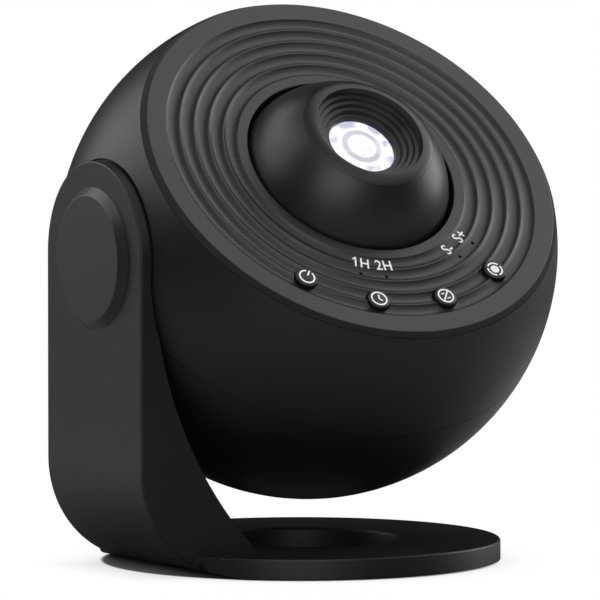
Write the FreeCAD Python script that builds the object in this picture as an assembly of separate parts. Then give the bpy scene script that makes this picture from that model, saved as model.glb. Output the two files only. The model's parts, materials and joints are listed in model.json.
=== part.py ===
import FreeCAD, Part
import math
import os

from FreeCAD import Vector

# Star projector: a ball-shaped head held by one curved side arm on a flat ring base.
# Frame: origin on the table under the ball's centre, +Z up, the ringed face looks towards -Y
# and up, and the arm stands on the -X side. Lengths are in millimetres.
# Head pieces are drawn in the head's own frame, with +Z along the lens axis, and then tilted.

# The origin is under the middle of the whole object's box, a little behind the ball's centre
MIDDLE_Y = -1.37

# Ball
BALL_R = 65.0
BALL_WALL = 2.4
BALL_HEIGHT = 81.0
TILT = 45.0
SEAM_H = 1.5
LIP = 1.1
LIP_GAP = 0.1

# Ringed face
FACE_H = 32.3
FACE_THICK = 2.7
RIM_R = 56.0
CHAMFER_R = 1.1
CHAMFER_H = 1.45
MOUTH_R = 28.3
FIRST_CREST_R = 31.05
GROOVE_PITCH = 3.97
GROOVES = 5
GROOVE_DEPTH = 0.7
CREST = 0.3
DECK_THICK = 1.9
DECK_GAP = 0.05

# Focus dome, nose and window
DOME_R = 27.6
DOME_WALL = 2.1
DOME_FOOT_H = 15.9
DOME_SHOULDER_H = 29.3
DOME_SHOULDER_ROUND = 7.74
DOME_CROWN_ROUND = 32.72
DOME_LEAN = 68.07
NOSE_R = 17.75
NOSE_SHOULDER_H = 45.0
NOSE_RIM_R = 14.66
NOSE_RIM_H = 46.1
NOSE_FOOT_H = 36.0
NOSE_STEPS = 4
NOSE_FIRST_DROP = 2.0
NOSE_RISER = 0.35
WINDOW_R = 9.3
WINDOW_H = 40.0
WINDOW_SEAT_R = 10.6
WINDOW_THICK = 2.6
FIT = 0.05
GAP = 0.3

# Buttons and indicators
BUTTON_RING_R = 46.0
BUTTON_MID = -90.55
BUTTON_STEP = 24.65
BUTTON_R = 3.05
BUTTON_TOP_H = 32.9
BUTTON_ROUND = 0.3
BUTTON_TRAVEL = 0.6
BUTTON_FLANGE_R = 4.0
STEM_R = 1.5
SWITCH_SIZE = 4.6
SWITCH_H = 2.0
STEM_FOOT_H = 25.42
PLUNGER_R = 0.9
BOARD_TOP_H = 22.6
BOARD_THICK = 1.2
INDICATOR_RING_R = 37.0
INDICATOR_MIDS = (-102.1, -52.2)
INDICATOR_STEP = 11.0
INDICATOR_R = 0.5
INDICATOR_SINK = 0.4

# Light path
CHASSIS_R = 51.0
CHASSIS_TOP_H = 4.5
CHASSIS_THICK = 2.5
CHASSIS_POST_R = 46.5
CHASSIS_POST_ANGLES = (25.0, 155.0, 205.0, 335.0)
TUBE_R = 13.0
TUBE_OUT_R = 15.0
TUBE_TOP_H = 27.5
TUBE_FLANGE_H = 10.4
TUBE_POST_R = 23.5
TUBE_POST_ANGLES = (30.0, 150.0, 270.0)
BEARING_R = 25.43
BEARING_TOP_H = 24.0
WEB_H = 16.0
CELL_FOOT_H = 14.0
CELL_TOP_H = 30.0
CELL_TRAVEL = 1.5
FOCUS_TURN = 60.0
CAM_R = 17.0
CAM_FOOT_H = 18.1
PIN_R = 0.9
PIN_H = 22.5
LENS_R = 11.5
CONDENSER_R = 10.8
HOUSING_FOOT_H = -12.0
SINK_R = 16.0
SINK_FOOT_H = -34.0
GEAR_MODULE = 0.6
RING_TEETH = 60
PINION_TEETH = 12
GEAR_FOOT_H = 6.4
GEAR_THICK = 3.0
SLIDE_R = 13.9
SMALL_HEAD = 1.1
SMALL_HEAD_R = 1.7
SMALL_SHANK_R = 0.75
SMALL_LENGTH = 5.0
HOUSING_FLANGE_R = 17.0
HOUSING_SCREW_R = 15.2
HOUSING_SCREW_ANGLES = (30.0, 150.0, 270.0)
SINK_SCREW_R = 14.2
SINK_SCREW_ANGLES = (90.0, 270.0)
SINK_FINS = 7
SINK_PITCH = 4.2
REAR_LENS_FOOT_H = -4.6
REAR_LENS_EDGE_H = -3.9
REAR_LENS_BULGE = 1.6
MOTOR_SCREW_X = 4.2
MOTOR_HALF_X = 6.0
MOTOR_HALF_Y = 5.0
MOTOR_TOP_H = -8.0
MOTOR_FOOT_H = -26.0
SHAFT_R = 1.0

# Boards and leads
BOARD_IN_R = 34.5
BOARD_OUT_R = 51.0
BOARD_SWEEP = 104.0
BOARD_SCREW_R = 42.5
BOARD_SCREW_ANGLES = (-137.5, -91.0, -44.5)
MAIN_TOP_H = -2.4
MAIN_THICK = 1.6
LEAD_R = 0.6

# Power inlet in the rear shell
SOCKET_LEAN = 25.0
SOCKET_RECESS_R = 6.5
SOCKET_RECESS = 2.6
SOCKET_DEPTH = 7.5
SOCKET_HALF_W = 4.6
SOCKET_HALF_H = 3.0
STAKE_Y = 6.6

# Screws through the shells
SHELL_SCREW_R = 56.0
SHELL_SCREW_ANGLES = (45.0, 135.0, 225.0, 315.0)
SHELL_BOSS_R = 3.6
SHELL_SEAT_H = -20.0
FACE_SCREW_R = 33.5
FACE_SCREW_ANGLES = (15.0, 105.0, 165.0, 255.0)
FACE_SCREW_TOP_H = FACE_H - 1.3

# Pivot on the arm side
POCKET_R = 25.65
POCKET_X = -58.9
HUB_R = 8.0
HUB_BORE_R = 4.5
HUB_FLANGE_R = 18.0
HUB_FLANGE_THICK = 2.0
HUB_SCREW_R = 13.0
HUB_END_X = -63.9
SNAP_R = 7.2
SNAP_X = -62.5
CAP_R = 18.3
CAP_RISE = 2.0

# Stand
ARM_X = -63.0
ARM_INNER_X = -59.26
ARM_HALF = 25.05
BEND_R = 28.0
GUSSET_R = 106.0
GUSSET_TOE_X = -28.85
BASE_X = -2.0
BASE_R = 52.0
BASE_HOLE_R = 25.5
BASE_BOTTOM = 0.5
BASE_TOP = 5.75
BASE_EDGE = 0.6
ARM_EDGE = 0.5
EYE_STEP = 0.45
RELIEF_DROP = 1.5
RIB_WALL = 1.5
COVER_THICK = 1.2
BALLAST_THICK = 2.2
POCKET_IN_R = 28.2
POCKET_OUT_R = 48.8
POCKET_LEFT_X = -34.0
FOOT_R = 3.6
FOOT_RING_R = 44.0
FOOT_ANGLES = (30.0, 125.0, 235.0, 330.0)
FOOT_SINK = 0.48
COVER_SCREWS = ((38.5, 0.0), (38.5, 72.0), (38.5, 288.0), (31.0, 150.0), (31.0, 210.0))

Z = Vector(0, 0, 1)
X = Vector(1, 0, 0)
ORIGIN = Vector(0, 0, 0)

os.makedirs("parts", exist_ok=True)


def polar(radius, angle, height=0.0):
    """A point on a circle round the lens axis."""
    a = math.radians(angle)
    return Vector(radius * math.cos(a), radius * math.sin(a), height)


def cylinder(radius, low, high, at=ORIGIN):
    """A round bar along Z between two heights."""
    return Part.makeCylinder(radius, high - low, Vector(at.x, at.y, low), Z)


def cross_cylinder(radius, low, high, y=0.0, z=0.0):
    """A round bar along X between two places."""
    return Part.makeCylinder(radius, high - low, Vector(low, y, z), X)


def ring(inner, outer, low, high, at=ORIGIN):
    return cylinder(outer, low, high, at).cut(cylinder(inner, low - 1, high + 1, at))


def cross_ring(inner, outer, low, high):
    return cross_cylinder(outer, low, high).cut(cross_cylinder(inner, low - 1, high + 1))


def block(x0, x1, y0, y1, z0, z1):
    return Part.makeBox(x1 - x0, y1 - y0, z1 - z0, Vector(x0, y0, z0))


def fuse(shapes):
    solid = shapes[0]
    for other in shapes[1:]:
        solid = solid.fuse(other)
    return solid.removeSplitter()


def cut(solid, cutters):
    for cutter in cutters:
        solid = solid.cut(cutter)
    return solid


def outline(steps):
    """A closed wire in the XZ plane. A step is a point, or a pair: a point on an arc and its end."""
    edges = []
    start = steps[0]
    here = start
    for step in steps[1:] + [start]:
        if isinstance(step[0], tuple):
            middle, end = step
            arc = Part.Arc(*[Vector(p[0], 0, p[1]) for p in (here, middle, end)])
            edges.append(arc.toShape())
        else:
            end = step
            if math.dist(here, end) < 1e-6:
                continue
            edges.append(Part.LineSegment(Vector(here[0], 0, here[1]), Vector(end[0], 0, end[1])).toShape())
        here = end
    return Part.Wire(edges)


def turned(steps):
    """A turned solid: the outline of radius and height, spun round Z."""
    return Part.Face(outline(steps)).revolve(ORIGIN, Z, 360)


def extruded(steps, half):
    """An outline in X and Z, drawn out to both sides along Y."""
    face = Part.Face(outline(steps))
    face.translate(Vector(0, -half, 0))
    return face.extrude(Vector(0, 2 * half, 0))


def on_sphere(radius, height):
    return math.sqrt(radius * radius - height * height)


def sphere_arc(radius, from_height, to_height):
    """The middle and the end of an arc on a sphere's outline, going between two heights."""
    a = math.asin(from_height / radius)
    b = math.asin(to_height / radius)
    middle = (a + b) / 2
    return ((radius * math.cos(middle), radius * math.sin(middle)), (on_sphere(radius, to_height), to_height))


def ball(radius):
    return Part.makeSphere(radius)


def tilted(shape):
    """Head frame to the part's frame."""
    moved = shape.copy()
    moved.rotate(ORIGIN, X, TILT)
    moved.translate(Vector(0, 0, BALL_HEIGHT))
    return moved


def export(name, shapes):
    """Writes one node. A list of solids stays a group of separate solids."""
    if not isinstance(shapes, list):
        shapes = [shapes]
    solids = []
    for shape in shapes:
        solids.extend(shape.Solids)
    if not solids or not all(s.isValid() and s.Volume > 0 for s in solids):
        raise ValueError(name + " is not a good solid")
    whole = solids[0] if len(solids) == 1 else Part.makeCompound(solids)
    whole = whole.translated(Vector(0, MIDDLE_Y, 0))
    whole.exportStep("parts/" + name + ".step")
    print(name, len(solids), round(sum(s.Volume for s in solids) / 1000.0, 2))


def export_head(name, shapes):
    if not isinstance(shapes, list):
        shapes = [shapes]
    export(name, [tilted(s) for s in shapes])


# Places that several pieces share
BUTTON_ANGLES = [BUTTON_MID + BUTTON_STEP * (i - 1.5) for i in range(4)]
BUTTON_NAMES = ("power", "timer", "rotation", "light")
INDICATOR_ANGLES = [m + INDICATOR_STEP * s for m in INDICATOR_MIDS for s in (-0.5, 0.5)]
FACE_FOOT_H = FACE_H - FACE_THICK
DECK_TOP_H = FACE_FOOT_H - DECK_GAP
RIM_FOOT_H = FACE_H - CHAMFER_H
INNER_R = BALL_R - BALL_WALL
GEAR_TOP_H = GEAR_FOOT_H + GEAR_THICK
GEAR_CENTRES = GEAR_MODULE * (RING_TEETH + PINION_TEETH) / 2
PINION_AT = polar(GEAR_CENTRES, 90.0)
HOUSING_SEAT_H = CHASSIS_TOP_H - CHASSIS_THICK - 0.02
INLET_BOARD_T = SOCKET_RECESS + SOCKET_DEPTH + FIT
BOARD_LEGS = [Vector(x, y, 0) for x in (-23.0, 23.0) for y in (-38.0, -22.0)]
MOTOR_SCREWS = [Vector(x, PINION_AT.y, 0) for x in (-MOTOR_SCREW_X, MOTOR_SCREW_X)]
GROOVE_FLOOR_H = FACE_H - GROOVE_DEPTH


def screw(seat_h, head_h, head_r, shank_r, tip_h, at):
    """A pan-head screw with a cross slot. The head lies between the seat and head_h."""
    low, high = sorted((seat_h, head_h))
    head = cylinder(head_r, low, high, at)
    low, high = sorted((seat_h, tip_h))
    shank = cylinder(shank_r, low, high, at)
    slot_depth = 0.5 * abs(head_h - seat_h)
    outward = 1 if head_h > seat_h else -1
    low, high = sorted((head_h - outward * slot_depth, head_h + outward))
    long_side = 0.62 * head_r
    thin_side = 0.16 * head_r
    bar_a = block(at.x - long_side, at.x + long_side, at.y - thin_side, at.y + thin_side, low, high)
    bar_b = block(at.x - thin_side, at.x + thin_side, at.y - long_side, at.y + long_side, low, high)
    return cut(fuse([head, shank]), [bar_a, bar_b])


def small_screw(seat_h, up, at):
    """The one short screw that holds most inner pieces. Its shank points up or down from the seat."""
    way = 1 if up else -1
    tip_h = seat_h + way * SMALL_LENGTH
    return screw(seat_h, seat_h - way * SMALL_HEAD, SMALL_HEAD_R, SMALL_SHANK_R, tip_h, at)


def gear(teeth, low, high, backlash, phase):
    """A spur gear with involute flanks, from its module and tooth count."""
    pressure = math.radians(20.0)
    pitch_r = GEAR_MODULE * teeth / 2
    base_r = pitch_r * math.cos(pressure)
    tip_r = pitch_r + GEAR_MODULE * 0.95
    root_r = pitch_r - GEAR_MODULE * 1.25
    half = math.pi / (2 * teeth) - backlash / (2 * pitch_r)
    involute = math.tan(pressure) - pressure
    flank = []
    for i in range(5):
        r = max(base_r, root_r + 0.05) + (tip_r - max(base_r, root_r + 0.05)) * i / 4
        roll = math.sqrt(max((r / base_r) ** 2 - 1, 0))
        flank.append((r, half + involute - (roll - math.atan(roll))))
    points = []
    for tooth in range(teeth):
        centre = phase + 2 * math.pi * tooth / teeth
        points.append((root_r, centre - flank[0][1]))
        points.extend((r, centre - a) for r, a in flank)
        points.extend((r, centre + a) for r, a in reversed(flank))
        points.append((root_r, centre + flank[0][1]))
    corners = [Vector(r * math.cos(a), r * math.sin(a), low) for r, a in points]
    wire = Part.makePolygon(corners + [corners[0]])
    return Part.Face(wire).extrude(Vector(0, 0, high - low))


def crown(radius, edge_h, bulge):
    """The middle point of a ball-shaped crown's outline, and its pole. A negative bulge points down."""
    ball_r = (radius ** 2 + bulge ** 2) / (2 * abs(bulge))
    half = math.asin(radius / ball_r) / 2
    side = math.copysign(1, bulge)
    pole = edge_h + bulge
    return (ball_r * math.sin(half), pole - side * ball_r * (1 - math.cos(half))), (0, pole)


def lens(radius, low, high, top_bulge, bottom_bulge):
    """A round lens. A bulge is how far a face stands out at its middle; 0 is flat."""
    steps = [(0, low - bottom_bulge)]
    if bottom_bulge:
        middle = crown(radius, low, -bottom_bulge)[0]
        steps.append((middle, (radius, low)))
    else:
        steps.append((radius, low))
    steps.append((radius, high))
    steps.append(crown(radius, high, top_bulge) if top_bulge else (0, high))
    return turned(steps)


def wire_lead(points, radius):
    """A thin lead along straight runs joined by tangent arcs."""
    edges = []
    here = points[0]
    for i in range(1, len(points) - 1):
        back = (points[i - 1] - points[i])
        ahead = (points[i + 1] - points[i])
        short = min(back.Length, ahead.Length) * 0.45
        start = points[i] + back.normalize() * short
        end = points[i] + ahead.normalize() * short
        chord = (start + end) * 0.5
        reach = (chord - points[i])
        half_turn = back.getAngle(ahead) / 2
        bend = short * math.tan(half_turn)
        print("lead bend radius", round(bend, 1))
        centre = points[i] + reach.normalize() * (bend / math.sin(half_turn))
        middle = centre + (points[i] - centre).normalize() * bend
        edges.append(Part.LineSegment(here, start).toShape())
        edges.append(Part.Arc(start, middle, end).toShape())
        here = end
    edges.append(Part.LineSegment(here, points[-1]).toShape())
    section = Part.Wire([Part.Circle(points[0], points[1] - points[0], radius).toShape()])
    return Part.Wire(edges).makePipeShell([section], True, False)


# Ball shells
def shell_bosses(angles, ring_r, radius, low, high):
    room = ball(BALL_R - BALL_WALL / 2)
    return [cylinder(radius, low, high, polar(ring_r, a)).common(room) for a in angles]


pivot_pad = cross_cylinder(POCKET_R + 1.9, POCKET_X, POCKET_X + BALL_WALL).common(ball(BALL_R - 0.4))
pivot_room = cross_cylinder(POCKET_R, -BALL_R - 5, POCKET_X)
hub_hole = cross_cylinder(HUB_R + 0.4, -BALL_R, -50)
hub_screw_places = [(HUB_SCREW_R * math.cos(math.radians(a)), HUB_SCREW_R * math.sin(math.radians(a)))
                    for a in (45, 135, 225, 315)]
hub_screw_holes = [cross_cylinder(1.1, -BALL_R, -50, y, z) for y, z in hub_screw_places]


def front_shell():
    body = turned([
        (on_sphere(BALL_R, SEAM_H), SEAM_H),
        sphere_arc(BALL_R, SEAM_H, RIM_FOOT_H),
        (RIM_R - 1.6, RIM_FOOT_H),
        (RIM_R - 1.6, DECK_TOP_H),
        (MOUTH_R + 3.2, DECK_TOP_H),
        (MOUTH_R + 3.2, DECK_TOP_H - DECK_THICK),
        (on_sphere(INNER_R, DECK_TOP_H - DECK_THICK), DECK_TOP_H - DECK_THICK),
        sphere_arc(INNER_R, DECK_TOP_H - DECK_THICK, SEAM_H - LIP),
        (on_sphere(INNER_R, SEAM_H - LIP) + LIP, SEAM_H - LIP),
        (on_sphere(INNER_R, SEAM_H - LIP) + LIP, SEAM_H),
    ])
    half = block(-90, 90, -90, 90, SEAM_H, 90)
    post_places = [polar(CHASSIS_POST_R, a) for a in CHASSIS_POST_ANGLES]
    board_places = [polar(BOARD_SCREW_R, a) for a in BOARD_SCREW_ANGLES]
    posts = [cylinder(3.0, CHASSIS_TOP_H, DECK_TOP_H - 0.5, p) for p in post_places]
    bosses = shell_bosses(SHELL_SCREW_ANGLES, SHELL_SCREW_R, SHELL_BOSS_R, SEAM_H, 20.0)
    bosses += [cylinder(2.0, BOARD_TOP_H + 0.02, DECK_TOP_H - 0.5, p) for p in board_places]
    body = fuse([body, pivot_pad.common(half)] + posts + bosses)
    cuts = [pivot_room, hub_hole] + hub_screw_holes
    cuts += [cylinder(1.1, SEAM_H - 2, 13.0, polar(SHELL_SCREW_R, a)) for a in SHELL_SCREW_ANGLES]
    cuts += [cylinder(0.9, CHASSIS_TOP_H - 1, CHASSIS_TOP_H + 8, p) for p in post_places]
    cuts += [cylinder(BUTTON_FLANGE_R + GAP, 20, 40, polar(BUTTON_RING_R, a)) for a in BUTTON_ANGLES]
    cuts += [cylinder(INDICATOR_R + 0.3, 20, 40, polar(INDICATOR_RING_R, a)) for a in INDICATOR_ANGLES]
    cuts += [cylinder(1.0, 20, 40, polar(FACE_SCREW_R, a)) for a in FACE_SCREW_ANGLES]
    cuts += [cylinder(0.8, 20, DECK_TOP_H - 0.4, p) for p in board_places]
    return cut(body, cuts)


def at_socket(shape):
    """Moves a shape drawn with the ball's -Z pole at the origin and +Z inwards to the socket's place."""
    moved = shape.copy()
    moved.translate(Vector(0, 0, -BALL_R))
    moved.rotate(ORIGIN, X, SOCKET_LEAN)
    return moved


def rear_shell():
    body = turned([
        (0, -BALL_R),
        ((BALL_R * math.sin(math.radians(45)), -BALL_R * math.cos(math.radians(45))),
         (on_sphere(BALL_R, SEAM_H - 2.6), SEAM_H - 2.6)),
        sphere_arc(BALL_R, SEAM_H - 2.6, SEAM_H - 0.05),
        (on_sphere(INNER_R, SEAM_H - LIP) + LIP + LIP_GAP, SEAM_H - 0.05),
        (on_sphere(INNER_R, SEAM_H - LIP) + LIP + LIP_GAP, SEAM_H - LIP - 0.2),
        (on_sphere(INNER_R, SEAM_H - LIP - 0.2), SEAM_H - LIP - 0.2),
        ((INNER_R * math.sin(math.radians(45)), -INNER_R * math.cos(math.radians(45))), (0, -INNER_R)),
    ])
    half = block(-90, 90, -90, 90, -90, SEAM_H - 0.05)
    bosses = shell_bosses(SHELL_SCREW_ANGLES, SHELL_SCREW_R, SHELL_BOSS_R, -40.0, SEAM_H - 0.05)
    socket_pad = at_socket(cylinder(SOCKET_RECESS_R + 1.8, 0.6, SOCKET_RECESS + 2.0))
    stakes = []
    for y in (-STAKE_Y, STAKE_Y):
        stakes.append(at_socket(cylinder(1.6, SOCKET_RECESS + 1, INLET_BOARD_T - 0.02, Vector(0, y, 0))))
        stakes.append(at_socket(cylinder(0.9, SOCKET_RECESS + 1, INLET_BOARD_T + 2.2, Vector(0, y, 0))))
    body = fuse([body, pivot_pad.common(half), socket_pad.common(ball(BALL_R - 0.4))] + bosses + stakes)
    lip_r = on_sphere(INNER_R, SEAM_H - LIP)
    cuts = [pivot_room, hub_hole] + hub_screw_holes
    cuts.append(ring(lip_r - LIP_GAP, lip_r + LIP + LIP_GAP, SEAM_H - LIP - 0.2, SEAM_H + 1))
    for a in SHELL_SCREW_ANGLES:
        cuts.append(cylinder(2.6, -60, SHELL_SEAT_H, polar(SHELL_SCREW_R, a)))
        cuts.append(cylinder(1.3, SHELL_SEAT_H - 1, SEAM_H + 1, polar(SHELL_SCREW_R, a)))
    cuts.append(at_socket(cylinder(SOCKET_RECESS_R, -3, SOCKET_RECESS)))
    cuts.append(at_socket(block(-SOCKET_HALF_W, SOCKET_HALF_W, -SOCKET_HALF_H, SOCKET_HALF_H, 0, 8)))
    return cut(body, cuts)


def face_plate():
    steps = [(MOUTH_R, FACE_FOOT_H), (MOUTH_R, FACE_H - 0.35), (MOUTH_R + 0.35, FACE_H)]
    for i in range(GROOVES):
        inner = FIRST_CREST_R + GROOVE_PITCH * i + CREST / 2
        outer = FIRST_CREST_R + GROOVE_PITCH * (i + 1) - CREST / 2
        steps.append((inner, FACE_H))
        steps.append((((inner + outer) / 2, GROOVE_FLOOR_H), (outer, FACE_H)))
    steps += [
        (RIM_R, FACE_H),
        (RIM_R + CHAMFER_R, RIM_FOOT_H + 0.05),
        (RIM_R - 1.7, RIM_FOOT_H + 0.05),
        (RIM_R - 1.7, FACE_FOOT_H),
    ]
    body = turned(steps)
    cuts = [cylinder(BUTTON_R + 0.25, 20, 40, polar(BUTTON_RING_R, a)) for a in BUTTON_ANGLES]
    cuts += [cylinder(INDICATOR_R, 20, 40, polar(INDICATOR_RING_R, a)) for a in INDICATOR_ANGLES]
    cuts += [cylinder(0.75, 20, FACE_SCREW_TOP_H + 0.1, polar(FACE_SCREW_R, a)) for a in FACE_SCREW_ANGLES]
    return cut(body, cuts)


# Focus dome, nose and lens cell
def dome_outline(inset):
    """The dome's outer curve, two arcs that meet smoothly, or the same curve moved inwards."""
    lean = math.radians(DOME_LEAN)
    shoulder_r = DOME_SHOULDER_ROUND - inset
    crown_r = DOME_CROWN_ROUND - inset
    low_centre = DOME_R - DOME_SHOULDER_ROUND
    step = DOME_SHOULDER_ROUND - DOME_CROWN_ROUND
    centre = (low_centre + step * math.sin(lean), DOME_SHOULDER_H + step * math.cos(lean))
    top = math.asin((NOSE_R + 0.1 - centre[0]) / crown_r)
    middle = (lean + top) / 2
    half = (lean + math.pi / 2) / 2

    def shoulder(angle):
        return (low_centre + shoulder_r * math.sin(angle), DOME_SHOULDER_H + shoulder_r * math.cos(angle))

    def crest(angle):
        return (centre[0] + crown_r * math.sin(angle), centre[1] + crown_r * math.cos(angle))

    return (DOME_R - inset, DOME_SHOULDER_H), (shoulder(half), crest(lean)), (crest(middle), crest(top))


def dome_shell():
    foot, low_arc, top_arc = dome_outline(0.0)
    inner_foot, inner_low, inner_top = dome_outline(DOME_WALL)
    return turned([
        (DOME_R, DOME_FOOT_H),
        foot,
        low_arc,
        top_arc,
        inner_top[1],
        (inner_top[0], inner_low[1]),
        (inner_low[0], inner_foot),
        (DOME_R - DOME_WALL, DOME_FOOT_H),
    ])


def nose_funnel():
    steps = [(NOSE_R, NOSE_FOOT_H), (NOSE_R, NOSE_SHOULDER_H)]
    steps.append((((NOSE_R + NOSE_RIM_R) / 2, NOSE_RIM_H - 0.4), (NOSE_RIM_R, NOSE_RIM_H)))
    step_r = NOSE_RIM_R - 0.15
    step_h = NOSE_RIM_H
    steps.append((step_r, step_h))
    first_r = step_r - 0.45
    steps.append((first_r, step_h - NOSE_FIRST_DROP))
    tread = (first_r - WINDOW_R - NOSE_RISER * NOSE_STEPS) / NOSE_STEPS
    drop = (NOSE_RIM_H - NOSE_FIRST_DROP - WINDOW_H) / NOSE_STEPS
    r = first_r
    h = step_h - NOSE_FIRST_DROP
    for i in range(NOSE_STEPS):
        r -= tread
        steps.append((r, h))
        r -= NOSE_RISER
        h -= drop
        steps.append((max(r, WINDOW_R), h))
    steps.append((WINDOW_R, WINDOW_H - 0.5))
    steps.append((WINDOW_SEAT_R, WINDOW_H - 0.5))
    steps.append((WINDOW_SEAT_R, NOSE_FOOT_H))
    return turned(steps)


def front_window():
    low = WINDOW_H - 0.55 - WINDOW_THICK
    skirt_r = WINDOW_SEAT_R - 0.05
    return turned([
        (0, low), (skirt_r, low), (skirt_r, WINDOW_H - 0.55), (WINDOW_R - 0.1, WINDOW_H - 0.55),
        crown(WINDOW_R - 0.1, WINDOW_H - 0.55, 0.9),
    ])


def cam_sleeve():
    """Turns with the dome. Three sloping slots move the lens cell's pins."""
    body = ring(TUBE_OUT_R + 0.25, CAM_R, CAM_FOOT_H, NOSE_FOOT_H - 0.05)
    segments = 12
    cuts = []
    for start in TUBE_POST_ANGLES:
        for i in range(segments):
            turn = -FOCUS_TURN + 2 * FOCUS_TURN * (i + 0.5) / segments
            height = PIN_H - CELL_TRAVEL * turn / FOCUS_TURN
            length = 2 * math.pi * CAM_R * (2 * FOCUS_TURN / segments) / 360 + 0.9
            slope = math.degrees(math.atan2(CELL_TRAVEL, math.radians(FOCUS_TURN) * CAM_R))
            slot = block(12, 20, -length / 2, length / 2, -PIN_R - 0.2, PIN_R + 0.2)
            slot.rotate(ORIGIN, X, -slope)
            slot.rotate(ORIGIN, Z, start + turn)
            slot.translate(Vector(0, 0, height))
            cuts.append(slot)
        for side in (-1, 1):
            end = cross_cylinder(PIN_R + 0.2, 12, 20)
            end.rotate(ORIGIN, Z, start + side * FOCUS_TURN)
            end.translate(Vector(0, 0, PIN_H - side * CELL_TRAVEL))
            cuts.append(end)
    return cut(body, cuts)


def objective_tube():
    body = fuse([
        ring(TUBE_R, TUBE_OUT_R, TUBE_FLANGE_H, TUBE_TOP_H),
        ring(TUBE_R, BEARING_R + 0.4, TUBE_FLANGE_H, TUBE_FLANGE_H + 2.0),
        ring(TUBE_R, BEARING_R, WEB_H, WEB_H + 2.0),
        ring(BEARING_R - 2.0, BEARING_R, WEB_H, BEARING_TOP_H),
    ])
    cuts = []
    for a in TUBE_POST_ANGLES:
        slot = block(10, 18, -PIN_R - 0.1, PIN_R + 0.1, PIN_H - CELL_TRAVEL - 1.2, TUBE_TOP_H + 1)
        slot.rotate(ORIGIN, Z, a)
        cuts.append(slot)
        cuts.append(cylinder(1.1, TUBE_FLANGE_H - 1, TUBE_FLANGE_H + 3, polar(TUBE_POST_R, a)))
    return cut(body, cuts)


def lens_cell():
    shoulder = 1.0
    body = turned([
        (LENS_R + FIT, CELL_FOOT_H), (TUBE_R - FIT, CELL_FOOT_H), (TUBE_R - FIT, CELL_TOP_H),
        (LENS_R + FIT, CELL_TOP_H), (LENS_R + FIT, 24.6), (LENS_R - shoulder, 24.6),
        (LENS_R - shoulder, 19.4), (LENS_R + FIT, 19.4),
    ])
    holes = [cross_cylinder(PIN_R, 5, 20) for a in TUBE_POST_ANGLES]
    for hole, a in zip(holes, TUBE_POST_ANGLES):
        hole.rotate(ORIGIN, Z, a)
        hole.translate(Vector(0, 0, PIN_H))
    return cut(body, holes)


def cell_pins():
    pins = []
    for a in TUBE_POST_ANGLES:
        pin = cross_cylinder(PIN_R - 0.02, LENS_R - 0.4, CAM_R - 0.3)
        pin.rotate(ORIGIN, Z, a)
        pin.translate(Vector(0, 0, PIN_H))
        pins.append(pin)
    return pins


# Lamp, slide carrier and drive
def chassis():
    body = ring(TUBE_R + 0.1, CHASSIS_R, CHASSIS_TOP_H - CHASSIS_THICK, CHASSIS_TOP_H)
    tube_places = [polar(TUBE_POST_R, a) for a in TUBE_POST_ANGLES]
    posts = [cylinder(2.4, CHASSIS_TOP_H - 0.5, TUBE_FLANGE_H - 0.02, p) for p in tube_places]
    legs = [cylinder(2.4, -2.38, CHASSIS_TOP_H - 1, p) for p in BOARD_LEGS]
    body = fuse([body] + posts + legs)
    cuts = [cylinder(1.2, -10, 20, polar(CHASSIS_POST_R, a)) for a in CHASSIS_POST_ANGLES]
    cuts += [cylinder(0.8, TUBE_FLANGE_H - 5.5, 20, p) for p in tube_places]
    cuts += [cylinder(0.8, -10, 1.5, p) for p in BOARD_LEGS]
    cuts.append(cylinder(1.6, -10, 20, PINION_AT))
    cuts += [cylinder(0.8, 0, 20, polar(HOUSING_SCREW_R, a)) for a in HOUSING_SCREW_ANGLES]
    cuts += [cylinder(1.1, 0, 20, p) for p in MOTOR_SCREWS]
    return cut(body, cuts)


def condenser_housing():
    body = turned([
        (CONDENSER_R + FIT, HOUSING_FOOT_H), (SINK_R, HOUSING_FOOT_H), (SINK_R, HOUSING_FOOT_H + 1.8),
        (TUBE_R - FIT, HOUSING_FOOT_H + 1.8), (TUBE_R - FIT, HOUSING_SEAT_H - 1.4),
        (HOUSING_FLANGE_R, HOUSING_SEAT_H - 1.4), (HOUSING_FLANGE_R, HOUSING_SEAT_H),
        (TUBE_R - FIT, HOUSING_SEAT_H), (TUBE_R - FIT, 7.8),
        (CONDENSER_R - 0.8, 7.8), (CONDENSER_R - 0.8, 5.6), (CONDENSER_R + FIT, 5.6),
    ])
    cuts = [cylinder(1.0, 0, 20, polar(HOUSING_SCREW_R, a)) for a in HOUSING_SCREW_ANGLES]
    for a in SINK_SCREW_ANGLES:
        cuts.append(cylinder(0.8, HOUSING_FOOT_H - 1, HOUSING_FOOT_H + 2.8, polar(SINK_SCREW_R, a)))
    motor_room = MOTOR_HALF_X + 1.0
    motor_side = PINION_AT.y - MOTOR_HALF_Y - GAP
    cuts.append(block(-motor_room, motor_room, motor_side, BALL_R, HOUSING_SEAT_H - 2, HOUSING_SEAT_H + 1))
    return cut(body, cuts)


def heat_sink():
    plate = cylinder(SINK_R, HOUSING_FOOT_H - 5.0, HOUSING_FOOT_H)
    fins = []
    for i in range(SINK_FINS):
        x = (i - (SINK_FINS - 1) / 2) * SINK_PITCH
        fins.append(block(x - 0.7, x + 0.7, -SINK_R, SINK_R, SINK_FOOT_H, HOUSING_FOOT_H - 4.5))
    body = fuse([plate] + [f.common(cylinder(SINK_R, SINK_FOOT_H, 0)) for f in fins])
    cuts = [cylinder(CONDENSER_R - 0.6, HOUSING_FOOT_H - 1.5, 0)]
    for a in SINK_SCREW_ANGLES:
        at = polar(SINK_SCREW_R, a)
        cuts.append(cylinder(1.0, SINK_FOOT_H - 1, 0, at))
        cuts.append(cylinder(2.4, SINK_FOOT_H - 1, HOUSING_FOOT_H - 3.0, at))
    return cut(body, cuts)


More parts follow.
